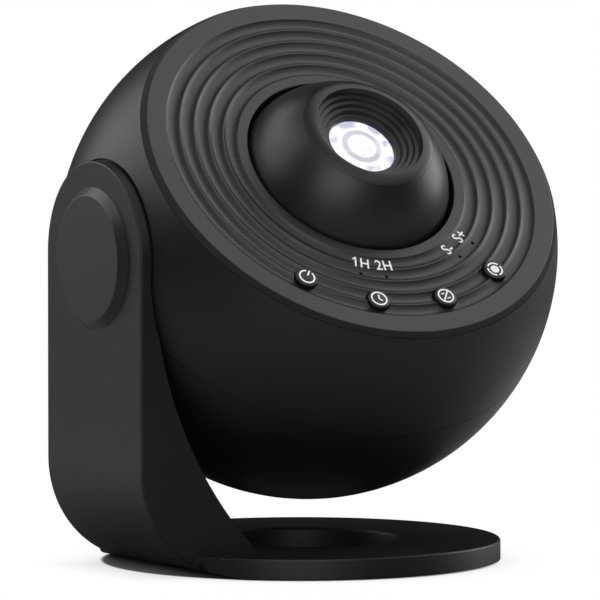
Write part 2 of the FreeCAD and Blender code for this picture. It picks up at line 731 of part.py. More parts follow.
export_head("front_shell", front_shell())
export_head("rear_shell", rear_shell())
export_head("face_plate", face_plate())
export_head("dome_shell", dome_shell())
export_head("nose_funnel", nose_funnel())
export_head("front_window", front_window())
export_head("cam_sleeve", cam_sleeve())
dome_retainer = ring(22.2, DOME_R - 0.2, 13.9, DOME_FOOT_H - 0.02)
export_head("dome_retainer", dome_retainer)
export_head("objective_tube", objective_tube())
export_head("lens_cell", lens_cell())
export_head("cell_pins", cell_pins())
export_head("objective_lens_front", lens(LENS_R, 24.65, 26.4, 1.6, 0.0))
export_head("objective_lens_rear", lens(LENS_R, 17.2, 19.35, 0.0, 1.6))
export_head("cell_retaining_ring", ring(LENS_R - 1.0, LENS_R, 28.1, 29.6))

export_head("chassis_plate", chassis())
export_head("condenser_housing", condenser_housing())
export_head("condenser_lens_front", lens(CONDENSER_R, 2.4, 3.6, 1.8, 0.0))
rear_lens = lens(CONDENSER_R, REAR_LENS_FOOT_H, REAR_LENS_EDGE_H, REAR_LENS_BULGE, 0.0)
spacer_foot_h = REAR_LENS_EDGE_H + 0.32
export_head("condenser_spacer", ring(CONDENSER_R - 1.0, CONDENSER_R, spacer_foot_h, 2.38))
export_head("condenser_lens_rear", rear_lens)
export_head("heat_sink", heat_sink())
reflector = turned([
    (3.6, HOUSING_FOOT_H + 0.02), (CONDENSER_R, HOUSING_FOOT_H + 0.02),
    (CONDENSER_R, REAR_LENS_FOOT_H - 0.02), (9.8, REAR_LENS_FOOT_H - 0.02),
    ((7.6, HOUSING_FOOT_H + 3.3), (3.6, HOUSING_FOOT_H + 0.4)),
])
export_head("lamp_reflector", reflector)
led_board = cylinder(CONDENSER_R - 0.7, HOUSING_FOOT_H - 1.48, HOUSING_FOOT_H)
led_chip = fuse([
    block(-2.5, 2.5, -2.5, 2.5, HOUSING_FOOT_H + 0.02, HOUSING_FOOT_H + 0.8),
    ball(1.7).translated(Vector(0, 0, HOUSING_FOOT_H + 0.7)).common(
        block(-3, 3, -3, 3, HOUSING_FOOT_H + 0.5, 0)),
])
export_head("lamp_board", led_board)
export_head("lamp_led", led_chip)

carrier = cut(gear(RING_TEETH, GEAR_FOOT_H, GEAR_TOP_H, 0.1, 0.0), [
    cylinder(TUBE_R, GEAR_FOOT_H - 1, 7.85),
    cylinder(TUBE_R - 1.0, 7, 20),
    cylinder(SLIDE_R + 0.1, 8.4, 20),
])
export_head("carrier_gear", carrier)
export_head("slide_disc", cylinder(SLIDE_R, 8.42, 9.0))
export_head("slide_clip", ring(SLIDE_R - 1.3, SLIDE_R, 9.02, GEAR_TOP_H))
pinion = gear(PINION_TEETH, GEAR_FOOT_H, GEAR_TOP_H, 0.1, math.pi / 2 + math.pi / PINION_TEETH)
pinion = pinion.translated(PINION_AT).cut(cylinder(SHAFT_R, 0, 20, PINION_AT))
export_head("motor_pinion", pinion)
export_head("motor_shaft", cylinder(SHAFT_R, -3.0, GEAR_TOP_H + 0.4, PINION_AT))
motor = fuse([
    block(-MOTOR_HALF_X, MOTOR_HALF_X, PINION_AT.y - MOTOR_HALF_Y, PINION_AT.y + MOTOR_HALF_Y,
          MOTOR_TOP_H, HOUSING_SEAT_H),
    cylinder(MOTOR_HALF_Y, MOTOR_FOOT_H, MOTOR_TOP_H, PINION_AT),
])
motor = cut(motor, [cylinder(SHAFT_R + 0.04, -3.2, 5, PINION_AT)])
motor = cut(motor, [cylinder(0.8, -3, 5, p) for p in MOTOR_SCREWS])
export_head("drive_motor", motor)

# Buttons, boards and indicators
for name, angle in zip(BUTTON_NAMES, BUTTON_ANGLES):
    at = polar(BUTTON_RING_R, angle)
    cap = cylinder(BUTTON_R, FACE_FOOT_H - 1, BUTTON_TOP_H, at)
    top = [e for e in cap.Edges if abs(e.BoundBox.ZMin - BUTTON_TOP_H) < 1e-6]
    cap = cap.makeFillet(BUTTON_ROUND, top)
    flange = cylinder(BUTTON_FLANGE_R, FACE_FOOT_H - 1.5, FACE_FOOT_H - 0.1, at)
    stem = cylinder(STEM_R, STEM_FOOT_H, FACE_FOOT_H - 1, at)
    tip = cylinder(PLUNGER_R, BOARD_TOP_H + 0.8, STEM_FOOT_H + 0.5, at)
    export_head("button_" + name, fuse([cap, flange, stem, tip]))

switches = []
for angle in BUTTON_ANGLES:
    half = SWITCH_SIZE / 2
    body = block(-half, half, -half, half, BOARD_TOP_H + 0.02, BOARD_TOP_H + SWITCH_H)
    body.rotate(ORIGIN, Z, angle)
    at = polar(BUTTON_RING_R, angle)
    body.translate(Vector(at.x, at.y, 0))
    switches.append(body.cut(cylinder(PLUNGER_R + FIT, BOARD_TOP_H + 0.15, BOARD_TOP_H + 5, at)))
export_head("tact_switches", switches)

board_foot_h = BOARD_TOP_H - BOARD_THICK
sector = Part.makeCylinder(BOARD_OUT_R, BOARD_THICK, Vector(0, 0, board_foot_h), Z, BOARD_SWEEP)
sector = sector.cut(cylinder(BOARD_IN_R, BOARD_TOP_H - 5, BOARD_TOP_H + 5))
sector.rotate(ORIGIN, Z, BUTTON_MID - BOARD_SWEEP / 2)
sector = cut(sector, [cylinder(1.0, 10, 30, polar(BOARD_SCREW_R, a)) for a in BOARD_SCREW_ANGLES])
export_head("button_board", sector)
leds = []
for angle in INDICATOR_ANGLES:
    chip = block(-0.8, 0.8, -0.5, 0.5, BOARD_TOP_H + 0.02, BOARD_TOP_H + 0.7)
    at = polar(INDICATOR_RING_R, angle)
    leds.append(chip.translated(Vector(at.x, at.y, 0)))
export_head("indicator_leds", leds)
pipe_top_h = GROOVE_FLOOR_H - INDICATOR_SINK
pipe_places = [polar(INDICATOR_RING_R, a) for a in INDICATOR_ANGLES]
pipes = [cylinder(INDICATOR_R - 0.04, BOARD_TOP_H + 0.75, pipe_top_h, p) for p in pipe_places]
export_head("light_pipes", pipes)

main_board = block(-27, 27, -42, -18, MAIN_TOP_H - MAIN_THICK, MAIN_TOP_H - 0.02)
main_board = cut(main_board, [cylinder(1.0, -10, 0, p) for p in BOARD_LEGS])
export_head("main_board", main_board)
low = MAIN_TOP_H - MAIN_THICK - 0.02
board_parts = [
    block(-9, 3, -35, -25, low - 1.6, low),
    block(8, 15, -40, -34, low - 3.0, low),
    block(-20, -14, -31, -25, low - 4.2, low),
    cylinder(3.2, low - 8.0, low, Vector(10, -26, 0)),
    cylinder(2.5, low - 6.0, low, Vector(17.5, -29, 0)),
    block(-20, -12, -41, -36, low - 5.5, low),
]
export_head("board_parts", board_parts)

# Power inlet in the rear shell
socket_wall = 0.1
socket = block(socket_wall - SOCKET_HALF_W, SOCKET_HALF_W - socket_wall, socket_wall - SOCKET_HALF_H,
               SOCKET_HALF_H - socket_wall, SOCKET_RECESS - 0.6, SOCKET_RECESS + SOCKET_DEPTH)
slot_end_x = 2.95
slot_r = 1.3
slot_end_h = SOCKET_RECESS + 6.0
slot = fuse([block(-slot_end_x, slot_end_x, -slot_r, slot_r, -5, slot_end_h)] +
            [cylinder(slot_r, -5, slot_end_h, Vector(x, 0, 0)) for x in (-slot_end_x, slot_end_x)])
tongue = block(-2.6, 2.6, -0.35, 0.35, SOCKET_RECESS - 0.2, SOCKET_RECESS + 6.5)
export_head("power_inlet", at_socket(fuse([socket.cut(slot), tongue])))
inlet_board = block(-7.5, 7.5, -9, 9, INLET_BOARD_T, INLET_BOARD_T + 1.25)
inlet_board = cut(inlet_board, [cylinder(1.0, 0, 30, Vector(0, y, 0)) for y in (-STAKE_Y, STAKE_Y)])
export_head("inlet_board", at_socket(inlet_board))

# Leads inside the ball
inlet_lead = [(-15, -38.5, -9.55), (-15, -38.5, -22), (-13, -26, -38), (-6, -2, -42)]
lead_end = BALL_R - INLET_BOARD_T - 1.3
lean = math.radians(SOCKET_LEAN)
inlet_lead += [(-3, r * math.sin(lean), -r * math.cos(lean)) for r in (lead_end - 11, lead_end)]
motor_lead = [
    (-18, -38.5, -9.55), (-18, -38.5, -19.5), (-24, -24, -25), (-27, -4, -30), (-22, 14, -36), (-10, 22, -40),
    (0, PINION_AT.y, -36.5), (0, PINION_AT.y, MOTOR_FOOT_H - 0.05),
]
routes = [[Vector(*p) for p in route] for route in (inlet_lead, motor_lead)]
export_head("wire_leads", [wire_lead(route, LEAD_R) for route in routes])

# Screws of the head
shell_places = [polar(SHELL_SCREW_R, a) for a in SHELL_SCREW_ANGLES]
chassis_places = [polar(CHASSIS_POST_R, a) for a in CHASSIS_POST_ANGLES]
tube_places = [polar(TUBE_POST_R, a) for a in TUBE_POST_ANGLES]
board_places = [polar(BOARD_SCREW_R, a) for a in BOARD_SCREW_ANGLES]
housing_places = [polar(HOUSING_SCREW_R, a) for a in HOUSING_SCREW_ANGLES]
sink_places = [polar(SINK_SCREW_R, a) for a in SINK_SCREW_ANGLES]
face_places = [polar(FACE_SCREW_R, a) for a in FACE_SCREW_ANGLES]
shell_head_h = SHELL_SEAT_H - 2.0
export_head("shell_screws", [screw(SHELL_SEAT_H, shell_head_h, 2.4, 1.05, 12.0, p) for p in shell_places])
chassis_head_h = HOUSING_SEAT_H - 1.78
plate_screws = [screw(HOUSING_SEAT_H, chassis_head_h, 2.2, 0.85, 11.0, p) for p in chassis_places]
export_head("chassis_screws", plate_screws)
small = [small_screw(TUBE_FLANGE_H + 2.02, False, p) for p in tube_places]
small += [small_screw(board_foot_h - 0.02, True, p) for p in board_places]
small += [small_screw(MAIN_TOP_H - MAIN_THICK - 0.02, True, p) for p in BOARD_LEGS]
small += [small_screw(HOUSING_SEAT_H - 1.42, True, p) for p in housing_places]
small += [small_screw(CHASSIS_TOP_H + 0.02, False, p) for p in MOTOR_SCREWS]
small += [small_screw(HOUSING_FOOT_H - 3.02, True, p) for p in sink_places]
export_head("small_screws", small)
deck_foot_h = DECK_TOP_H - DECK_THICK - 0.02
deck_head_h = deck_foot_h - 1.18
face_screws = [screw(deck_foot_h, deck_head_h, 1.7, 0.7, FACE_SCREW_TOP_H, p) for p in face_places]
export_head("face_screws", face_screws)

# Pivot between the ball and the arm
hub = fuse([
    cross_cylinder(HUB_FLANGE_R, POCKET_X + BALL_WALL + 0.03, POCKET_X + BALL_WALL + 0.03 + HUB_FLANGE_THICK),
    cross_cylinder(HUB_R, HUB_END_X, POCKET_X + BALL_WALL + 1.0),
])
hub = cut(hub, [cross_cylinder(HUB_BORE_R, -70, -50)] +
          [cross_cylinder(1.1, -60, -50, y, z) for y, z in hub_screw_places] +
          [cross_ring(SNAP_R, HUB_R + 1, SNAP_X - 0.85, SNAP_X + 0.05)])
export_head("pivot_hub", hub)


def cross_screw(seat_x, head_x, head_r, shank_r, tip_x, y, z):
    """A screw along X, drawn along Z and turned."""
    made = screw(seat_x, head_x, head_r, shank_r, tip_x, ORIGIN)
    made.rotate(ORIGIN, Vector(0, 1, 0), 90)
    made.translate(Vector(0, y, z))
    return made


hub_seat = POCKET_X + BALL_WALL + 0.03 + HUB_FLANGE_THICK
export_head("hub_screws", [cross_screw(hub_seat + 0.02, hub_seat + 1.6, 2.0, 1.0, POCKET_X + 0.2, y, z)
                           for y, z in hub_screw_places])
snap_ring = cross_ring(SNAP_R + 0.05, 10.6, SNAP_X - 0.8, SNAP_X).cut(block(-66, -60, -3.2, 3.2, -14, 0))
export_head("pivot_snap_ring", snap_ring)


def raised(shape):
    return shape.translated(Vector(0, 0, BALL_HEIGHT))


friction_washer = cross_ring(9.0, 20.0, ARM_INNER_X + 0.03, POCKET_X - 0.03)
export("friction_washer", raised(friction_washer))
bush = fuse([cross_ring(HUB_R + FIT, 9.45, -61.8, ARM_INNER_X), cross_ring(HUB_R + FIT, 12.0, -61.8, -61.22)])
export("pivot_bush", raised(bush))
export("wave_washer", raised(cross_ring(HUB_R + 0.4, 12.0, -62.45, -61.87)))


def pivot_cap():
    body = turned([(0, 0), (CAP_R, 0), (CAP_R - CAP_RISE, CAP_RISE), (0, CAP_RISE)])
    body = body.cut(cylinder(14.2, -1, CAP_RISE - 1.0))
    body = fuse([body, ring(14.1, 14.9, -1.3, 0.5)])
    body.rotate(ORIGIN, Vector(0, 1, 0), -90)
    return body.translated(Vector(ARM_X - 0.02, 0, BALL_HEIGHT))


# Stand: arm, bend, ring base, and what it holds
foot_places = [polar(FOOT_RING_R, a) + Vector(BASE_X, 0, 0) for a in FOOT_ANGLES]
cover_screw_places = [polar(r, a) + Vector(BASE_X, 0, 0) for r, a in COVER_SCREWS]


def gusset_arc():
    """The middle and the end of the arc from the arm's inner face down to the base's top."""
    centre_x = ARM_INNER_X + GUSSET_R
    drop = math.sqrt(GUSSET_R ** 2 - (centre_x - GUSSET_TOE_X) ** 2)
    centre_z = BASE_TOP + drop
    start = math.pi
    end = math.pi + math.asin(drop / GUSSET_R)
    middle = (start + end) / 2
    arc_middle = (centre_x + GUSSET_R * math.cos(middle), centre_z + GUSSET_R * math.sin(middle))
    return centre_z, (arc_middle, (GUSSET_TOE_X, BASE_TOP))


def stand_body():
    bend_x = ARM_X + BEND_R
    low = math.radians(225)
    bend_middle = (bend_x + BEND_R * math.cos(low), BEND_R + BEND_R * math.sin(low))
    gusset_top, arc = gusset_arc()
    profile = [
        (ARM_X, BALL_HEIGHT), (ARM_INNER_X, BALL_HEIGHT), (ARM_INNER_X, gusset_top), arc,
        (GUSSET_TOE_X, 0), (bend_x, 0), (bend_middle, (ARM_X, BEND_R)),
    ]
    eye = raised(cross_cylinder(ARM_HALF, ARM_X, ARM_INNER_X))
    eye_core = raised(cross_cylinder(ARM_HALF - EYE_STEP, ARM_X, ARM_INNER_X))
    near = raised(ball(BALL_R + GAP))
    relief = near.fuse(near.translated(Vector(0, 0, -RELIEF_DROP)))
    side = extruded(profile, ARM_HALF).fuse(eye).cut(relief).fuse(eye_core).removeSplitter()
    edges = []
    for e in side.Edges:
        box = e.BoundBox
        if box.XMax < ARM_X + BEND_R - 0.1 and box.ZMax > 1.0:
            flat = box.XLength < 1e-3 and abs(box.XMin - ARM_X) < 1e-3
            on_side = box.YLength < 1e-3 and abs(abs(box.YMin) - ARM_HALF) < 1e-3
            bent = on_side and box.XMin < ARM_X + 1e-3 and box.ZMin > -0.1 and box.ZMax < BEND_R + 1
            if flat and (box.YLength < 1e-3 or box.ZLength > 20) or bent:
                edges.append(e)
    side = side.makeFillet(ARM_EDGE, edges)
    base = cylinder(BASE_R, 0, BASE_TOP, Vector(BASE_X, 0, 0))
    beyond = BASE_R + 20
    bend = (bend_middle, (ARM_X, BEND_R))
    kept = extruded([(bend_x, -1), (bend_x, 0), bend, (beyond, BEND_R), (beyond, -1)], 80)
    rim = [e for e in base.Edges if abs(e.BoundBox.ZMin - BASE_TOP) < 1e-6]
    base = base.makeFillet(BASE_EDGE, rim).common(kept)
    body = side.fuse(base).removeSplitter()
    hole = cylinder(BASE_HOLE_R, -5, BASE_TOP, Vector(BASE_X, 0, 0))
    lead_in_at = Vector(BASE_X, 0, BASE_TOP - BASE_EDGE)
    hole = fuse([hole, Part.makeCone(BASE_HOLE_R, BASE_HOLE_R + BASE_EDGE, BASE_EDGE, lead_in_at, Z)])
    pocket = ring(POCKET_IN_R, POCKET_OUT_R, -1, BASE_TOP - RIB_WALL, Vector(BASE_X, 0, 0))
    pocket = pocket.common(block(POCKET_LEFT_X, 90, -90, 90, -2, 20))
    posts = [cylinder(2.6, BASE_BOTTOM + COVER_THICK + 0.05, BASE_TOP - 1, p) for p in cover_screw_places]
    pocket = cut(pocket, posts)
    cuts = [hole, pocket, block(-90, 90, -90, 90, -9, BASE_BOTTOM)]
    cuts += [cylinder(0.9, 0, BASE_TOP - 1.2, p) for p in cover_screw_places]
    cuts += [raised(cross_cylinder(15.0, -70, -61.2)), raised(cross_cylinder(9.5, -70, -50))]
    return cut(body, cuts)


def ring_part(inner, outer, low, high, left):
    part = ring(inner, outer, low, high, Vector(BASE_X, 0, 0))
    return part.common(block(left, 90, -90, 90, -2, 20))


cover_top = BASE_BOTTOM + COVER_THICK
cover = ring_part(POCKET_IN_R + 0.1, POCKET_OUT_R - 0.1, BASE_BOTTOM, cover_top, POCKET_LEFT_X + 0.1)
cover = cut(cover, [cylinder(1.1, -1, 5, p) for p in cover_screw_places])
cover = cut(cover, [cylinder(2.3, -1, BASE_BOTTOM + 0.6, p) for p in cover_screw_places])
cover = cut(cover, [cylinder(FOOT_R + 0.05, -1, BASE_BOTTOM + FOOT_SINK + 0.02, p) for p in foot_places])
ballast = ring_part(POCKET_IN_R + 0.5, POCKET_OUT_R - 0.5, cover_top + FIT, cover_top + FIT + BALLAST_THICK,
                    POCKET_LEFT_X + 0.6)
ballast = cut(ballast, [cylinder(2.9, 0, 6, p) for p in cover_screw_places])
export("stand_body", stand_body())
export("base_cover", cover)
export("ballast_ring", ballast)
export("rubber_feet", [cylinder(FOOT_R, 0, BASE_BOTTOM + FOOT_SINK, p) for p in foot_places])
export("base_screws", [screw(BASE_BOTTOM + 0.6, BASE_BOTTOM + 0.05, 2.1, 0.85, BASE_TOP - 1.4, p)
                       for p in cover_screw_places])
export("pivot_cap", pivot_cap())
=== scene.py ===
import json
import math

import bmesh
import bpy
from bpy.props import FloatProperty, FloatVectorProperty, PointerProperty
from mathutils import Matrix, Vector

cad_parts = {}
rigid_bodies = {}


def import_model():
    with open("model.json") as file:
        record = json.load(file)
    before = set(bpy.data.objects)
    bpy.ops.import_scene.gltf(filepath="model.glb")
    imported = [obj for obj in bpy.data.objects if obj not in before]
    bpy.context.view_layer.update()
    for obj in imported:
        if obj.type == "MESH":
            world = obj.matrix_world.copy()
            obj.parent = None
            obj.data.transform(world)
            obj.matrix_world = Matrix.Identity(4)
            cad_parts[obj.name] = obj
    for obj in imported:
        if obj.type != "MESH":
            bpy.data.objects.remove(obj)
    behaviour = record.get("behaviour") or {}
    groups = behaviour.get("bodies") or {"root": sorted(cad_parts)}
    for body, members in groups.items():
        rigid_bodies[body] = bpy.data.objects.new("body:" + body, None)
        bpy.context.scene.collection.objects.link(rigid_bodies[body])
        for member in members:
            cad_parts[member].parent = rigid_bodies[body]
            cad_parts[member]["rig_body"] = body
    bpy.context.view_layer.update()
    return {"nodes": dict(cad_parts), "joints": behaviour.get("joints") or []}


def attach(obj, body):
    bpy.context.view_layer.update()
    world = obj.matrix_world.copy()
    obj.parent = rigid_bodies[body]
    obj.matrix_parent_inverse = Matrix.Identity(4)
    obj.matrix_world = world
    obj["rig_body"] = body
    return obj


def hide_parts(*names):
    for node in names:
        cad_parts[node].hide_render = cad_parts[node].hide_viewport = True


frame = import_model()

bl_info = {
    "name": "Star projector",
    "version": (1, 0, 0),
    "blender": (4, 5, 0),
    "location": "View3D > Sidebar > Projector",
    "description": "A ball-shaped star projector on a one-armed ring base",
    "category": "Add Mesh",
}

# Lengths in the outlines are in millimetres
MM = 0.001
FULL_TURN = 2 * math.pi
SPIN_STEPS = 256
ROUND_SEGMENTS = 3
SHARP_ANGLE = math.radians(32)

# The head's own frame: +Z along the lens axis, at the ball's centre
JOINTS = {j["name"]: j for j in frame["joints"]}
BALL_CENTRE = Vector(JOINTS["head_tilt"]["pos_m"])
LENS_AXIS = Vector(JOINTS["focus_turn"]["axis"])
HEAD = Matrix.Translation(BALL_CENTRE) @ Vector((0, 0, 1)).rotation_difference(LENS_AXIS).to_matrix().to_4x4()
PIVOT = Matrix.Translation(BALL_CENTRE) @ Matrix.Rotation(-math.pi / 2, 4, "Y")

# The photograph's camera, as fitted to the ball's outline, the rings and the base
CAMERA_AT = Vector((-1.54183, -2.69422, 0.33649))
CAMERA_WAY = Vector((0.49452502, 0.86486501, -0.08633379))
SENSOR_WIDTH = 36.0
# The same view direction in the head's own frame, along which the labels are read
READING_WAY = HEAD.to_3x3().inverted() @ CAMERA_WAY

# Ball
BALL_R = 65.0
BALL_WALL = 2.4
BALL_STEPS = 150
SEAM_H = 1.5
SEAM_GAP = 0.24
SEAM_ROUND = 0.25
POCKET_R = 25.65
POCKET_DEPTH = 58.9
HUB_HOLE_R = 8.4
POCKET_MOUTH = math.sqrt(BALL_R ** 2 - POCKET_R ** 2)

# Ringed face
FACE_H = 32.3
FACE_FOOT_H = 29.6
RIM_R = 56.0
RIM_FOOT_R = 57.1
RIM_FOOT_H = 30.9
RIM_GAP = 0.05
PLATE_R = RIM_R - 1.7
MOUTH_R = 28.3
GROOVES = 5
FIRST_CREST_R = 31.05
GROOVE_PITCH = 3.97
GROOVE_DEPTH = 0.7
CREST = 0.3
DRILL_SIDES = 48
DRILL_DEPTH = 12.0

# The rougher band on the face's rim: middle radius, half width and soft edge
RIM_BAND = (RIM_R + 1.0, 0.97, 0.05)
RIM_ROUGHNESS = 0.95

# Dome, nose and window
DOME_R = 27.6
DOME_WALL = 2.1
DOME_FOOT_H = 15.9
DOME_LEAN = 21.93
SHOULDER_AT = (19.86, 29.3)
SHOULDER_R = 7.74
CROWN_AT = (-3.31, 19.97)
CROWN_R = 32.72
CROWN_END = 49.78
CROWN_INNER_END = 46.36
NOSE_AT = (14.24, 40.125)
NOSE_ROUND = 5.99
NOSE_LEAN = 54
NOSE_LIP = 86
NOSE_R = 17.75
NOSE_RIM_R = 14.66
NOSE_RIM_H = 46.1
NOSE_FOOT_H = 36.0
NOSE_STEPS = 4
FIRST_STEP_IN = 0.45
FIRST_STEP_DROP = 2.0
RISER_SLOPE = 0.3
WINDOW_R = 9.0
WINDOW_H = 40.0
WINDOW_SEAT_R = 10.6
WINDOW_SEAT_H = WINDOW_H - 0.5
GLASS_R = WINDOW_SEAT_R - 0.05
GLASS_FOOT_H = WINDOW_H - 3.15
GLASS_EDGE_H = WINDOW_H - 0.55
GLASS_CROWN_R = 9.2
GLASS_RISE = 0.9

# The window's painted glow: middle radius, half width and soft edge of its disc, ring and edge patches
GLOW_DISC = (0.0, 3.4, 0.6)
GLOW_RING = (4.7, 0.55, 0.5)
GLOW_EDGE = (8.2, 1.3, 0.7)

# Buttons and their marks
BUTTON_RING_R = 46.0
BUTTON_MID = -90.55
BUTTON_STEP = 24.65
BUTTON_R = 3.05
BUTTON_HOLE_R = 3.32
BUTTON_TOP_H = 32.9
BUTTON_SIDES = 64
FLANGE_TOP_H = 29.5
BUTTON_OUTLINE = (
    (0.0, 23.4, 0.0), (0.9, 23.4, 0.1), (0.9, 25.42, 0.0), (1.5, 25.42, 0.0), (1.5, 28.1, 0.0),
    (4.0, 28.1, 0.1), (4.0, FLANGE_TOP_H, 0.1), (BUTTON_R, FLANGE_TOP_H, 0.0), (BUTTON_R, BUTTON_TOP_H, 0.35),
    (0.0, BUTTON_TOP_H, 0.0),
)
BUTTON_NAMES = ("power", "timer", "rotation", "light")
BUTTON_ANGLES = [BUTTON_MID + BUTTON_STEP * (i - 1.5) for i in range(4)]
MARK_LIFT = 0.03
MARK_THICK = 0.05
MARK_STEPS = 48
INDICATOR_RING_R = 37.0
INDICATOR_R = 0.5
INDICATOR_ANGLES = (-107.6, -96.6, -57.7, -46.7)
LABEL_HEIGHT = 3.35
LABEL_WIDTH = 0.85
CAPITAL_SHARE = 0.73
LABEL_THICK = 0.04
LABEL_STRIP = 0.22
LABEL_STRIPS = 9
FLAG_LENGTH = 1.3
FLAG_WIDTH = 0.5
FLAG_ANGLE = math.radians(38)
FLAG_OUT = 0.1
FLAG_DROP = 0.62
LABELS = (("1H", 33.8, -107.8), ("2H", 33.7, -97.05), ("S-", 33.4, -59.9), ("S+", 33.15, -48.7))

# Ring base
BASE_X = -2.0
BASE_R = 52.0

# Cap on the pivot
CAP_FACE_X = 63.02
CAP_RISE = 2.0
CAP_R = 18.3
CAP_SIDES = 160
CAP_SPIGOT = 1.3
SPIGOT_R = 14.9
CAP_HOLLOW = 1.0
HOLLOW_R = 14.1

# Features of the moulded surface
SPARK_SIZE = 0.22
CLOUD_SIZE = 14.0
DUST_SIZE = 1.7

# Lamps: azimuth and elevation in degrees and power in watts, with distance and sides in metres
SOFT_BOXES = (
    (-30, 6, 11.0), (90, 6, 12.7), (-150, 6, 5.0),
    (-150, 36, 8.3), (-110, 36, 8.4), (-30, 36, 4.9), (10, 36, 4.3), (50, 36, 1.3), (90, 36, 7.0),
    (-80, 64, 2.0), (40, 64, 2.7), (110, 64, 5.0),
)
BOX_DISTANCE = 1.6
BOX_WIDTH = 1.1
BOX_HEIGHT = 1.0

# Background and floor, with the painted bands as middle radius, half width and soft edge around the ring
FILL = 0.0
FLOOR_COLOUR = (0.15, 0.15, 0.15, 1.0)
FLOOR_GLOW = 0.45
# A painted pool of light on the floor, seen only in reflections, with painted shade in the middle
PAINTED_LIGHT_BAND = (205.0, 80.0, 70.0)
# Painted shade on the floor inside the ring's footprint: its band and how dark it is
PAINTED_SHADE_BAND = (0.0, BASE_R - 1.5, 1.0)
PAINTED_SHADE_DARKNESS = 0.99
# Reach and strength of the contact shadow that ambient occlusion paints onto the floor's white
CONTACT_SHADOW = 0.015
SHADOW_POWER = 0.25


class Tone:
    """A value on its way through a material's nodes. Arithmetic on it adds Math nodes."""

    def __init__(self, finish, socket):
        self.finish = finish
        self.socket = socket

    def maths(self, operation, *values):
        """Adds a Math node that works on these values."""
        sockets = {i: v for i, v in enumerate(values)}
        return self.finish.node("ShaderNodeMath", {"operation": operation}, sockets)

    def __add__(self, other):
        return self.maths("ADD", self, other)

    def __radd__(self, other):
        return self.maths("ADD", other, self)

    def __sub__(self, other):
        return self.maths("SUBTRACT", self, other)

    def __rsub__(self, other):
        return self.maths("SUBTRACT", other, self)

    def __mul__(self, other):
        return self.maths("MULTIPLY", self, other)

    def __truediv__(self, other):
        return self.maths("DIVIDE", self, other)

    def __pow__(self, other):
        return self.maths("POWER", self, other)

    def at_least(self, low):
        return self.maths("MAXIMUM", self, low)

    def at_most(self, high):
        return self.maths("MINIMUM", self, high)

    def band(self, middle, half, soft):
        """1 within half of the middle value, fading to 0 over the soft width."""
        away = self.maths("ABSOLUTE", self - middle)
        return ((half + soft - away) / soft).at_least(0.0).at_most(1.0)


class Finish:
    """One material and the one method that adds its nodes."""

    def __init__(self, name):
        self.material = bpy.data.materials.new(name)
        self.material.use_nodes = True
        self.tree = self.material.node_tree
        self.tree.nodes.clear()
        self.place = self.node("ShaderNodeTexCoord", out="Object")

    def node(self, kind, settings=None, sockets=None, out=0):
        """Adds a node with its settings and inputs, and gives back one of its outputs."""
        made = self.tree.nodes.new(kind)
        for key, value in (settings or {}).items():
            setattr(made, key, value)
        for key, value in (sockets or {}).items():
            if isinstance(value, Tone):
                self.tree.links.new(value.socket, made.inputs[key])
            else:
                made.inputs[key].default_value = value
        return Tone(self, made.outputs[out])

    def noise(self, size_mm, detail=2.0, roughness=0.5, place=None):
        """Noise with features of about a size in millimetres, fixed to the object or to another place."""
        sockets = {"Vector": place or self.place, "Scale": 1 / (size_mm * MM), "Detail": detail,
                   "Roughness": roughness}
        return self.node("ShaderNodeTexNoise", {}, sockets)

    def axis_distance(self):
        """The distance from the lens axis in millimetres, and the place in the head's own frame."""
        local = self.node("ShaderNodeMapping", {"vector_type": "TEXTURE"},
                          {"Vector": self.place, "Location": BALL_CENTRE, "Rotation": HEAD.to_euler()},
                          out="Vector")
        flat = self.node("ShaderNodeVectorMath", {"operation": "MULTIPLY"}, {0: local, 1: (1.0, 1.0, 0.0)})
        return self.node("ShaderNodeVectorMath", {"operation": "LENGTH"}, {0: flat}, out="Value") / MM, local

    def mix_colour(self, factor, a, b):
        """Mixes two colours, which are the Mix node's inputs 6 and 7 and its output 2."""
        return self.node("ShaderNodeMix", {"data_type": "RGBA"}, {0: factor, 6: a, 7: b}, out=2)

    def bump(self, height, strength, distance_mm):
        """A normal bent by a height, with the depth in millimetres."""
        sockets = {"Height": height, "Strength": strength, "Distance": distance_mm * MM}
        return self.node("ShaderNodeBump", {}, sockets, out="Normal")

    def surface(self, **sockets):
        """Ends the material in a Principled shader with these inputs and gives the material back."""
        named = {key.replace("_", " "): value for key, value in sockets.items()}
        self.show(self.node("ShaderNodeBsdfPrincipled", {}, named))
        return self.material

    def show(self, shader):
        """Links a shader to the material's output."""
        output = self.tree.nodes.new("ShaderNodeOutputMaterial")
        self.tree.links.new(shader.socket, output.inputs["Surface"])


def rgba(colour):
    """A colour with full opacity."""
    return (colour[0], colour[1], colour[2], 1.0)


def shade(colour, factor):
    """A colour made darker or brighter, with full opacity."""
    return tuple(min(c * factor, 1.0) for c in colour[:3]) + (1.0,)


def moulded_plastic(name, colour, roughness, grain, specular=0.5, rim=False):
    """Moulded plastic: fine spark texture, faint uneven sheen and a little dust in the colour."""
    finish = Finish(name)
    spark = finish.noise(SPARK_SIZE, 3.0, 0.6)
    cloud = finish.noise(CLOUD_SIZE, 3.0, 0.55)
    dust = finish.noise(DUST_SIZE, 2.0, 0.5)
    tint = finish.mix_colour(cloud, shade(colour, 0.86), shade(colour, 1.14))
    fleck = (dust - 0.62).at_least(0.0) * 1.6
    colour_out = finish.mix_colour(fleck.at_most(0.25), tint, shade(colour, 1.9))
    rough = roughness - 0.04 + cloud * 0.08 + (spark - 0.5) * 0.06
    if rim:
        rough = rough + finish.axis_distance()[0].band(*RIM_BAND) * (RIM_ROUGHNESS - roughness)
    return finish.surface(Base_Color=colour_out, Roughness=rough, Specular_IOR_Level=specular,
                          Normal=finish.bump(spark * grain, 0.35, 0.03))


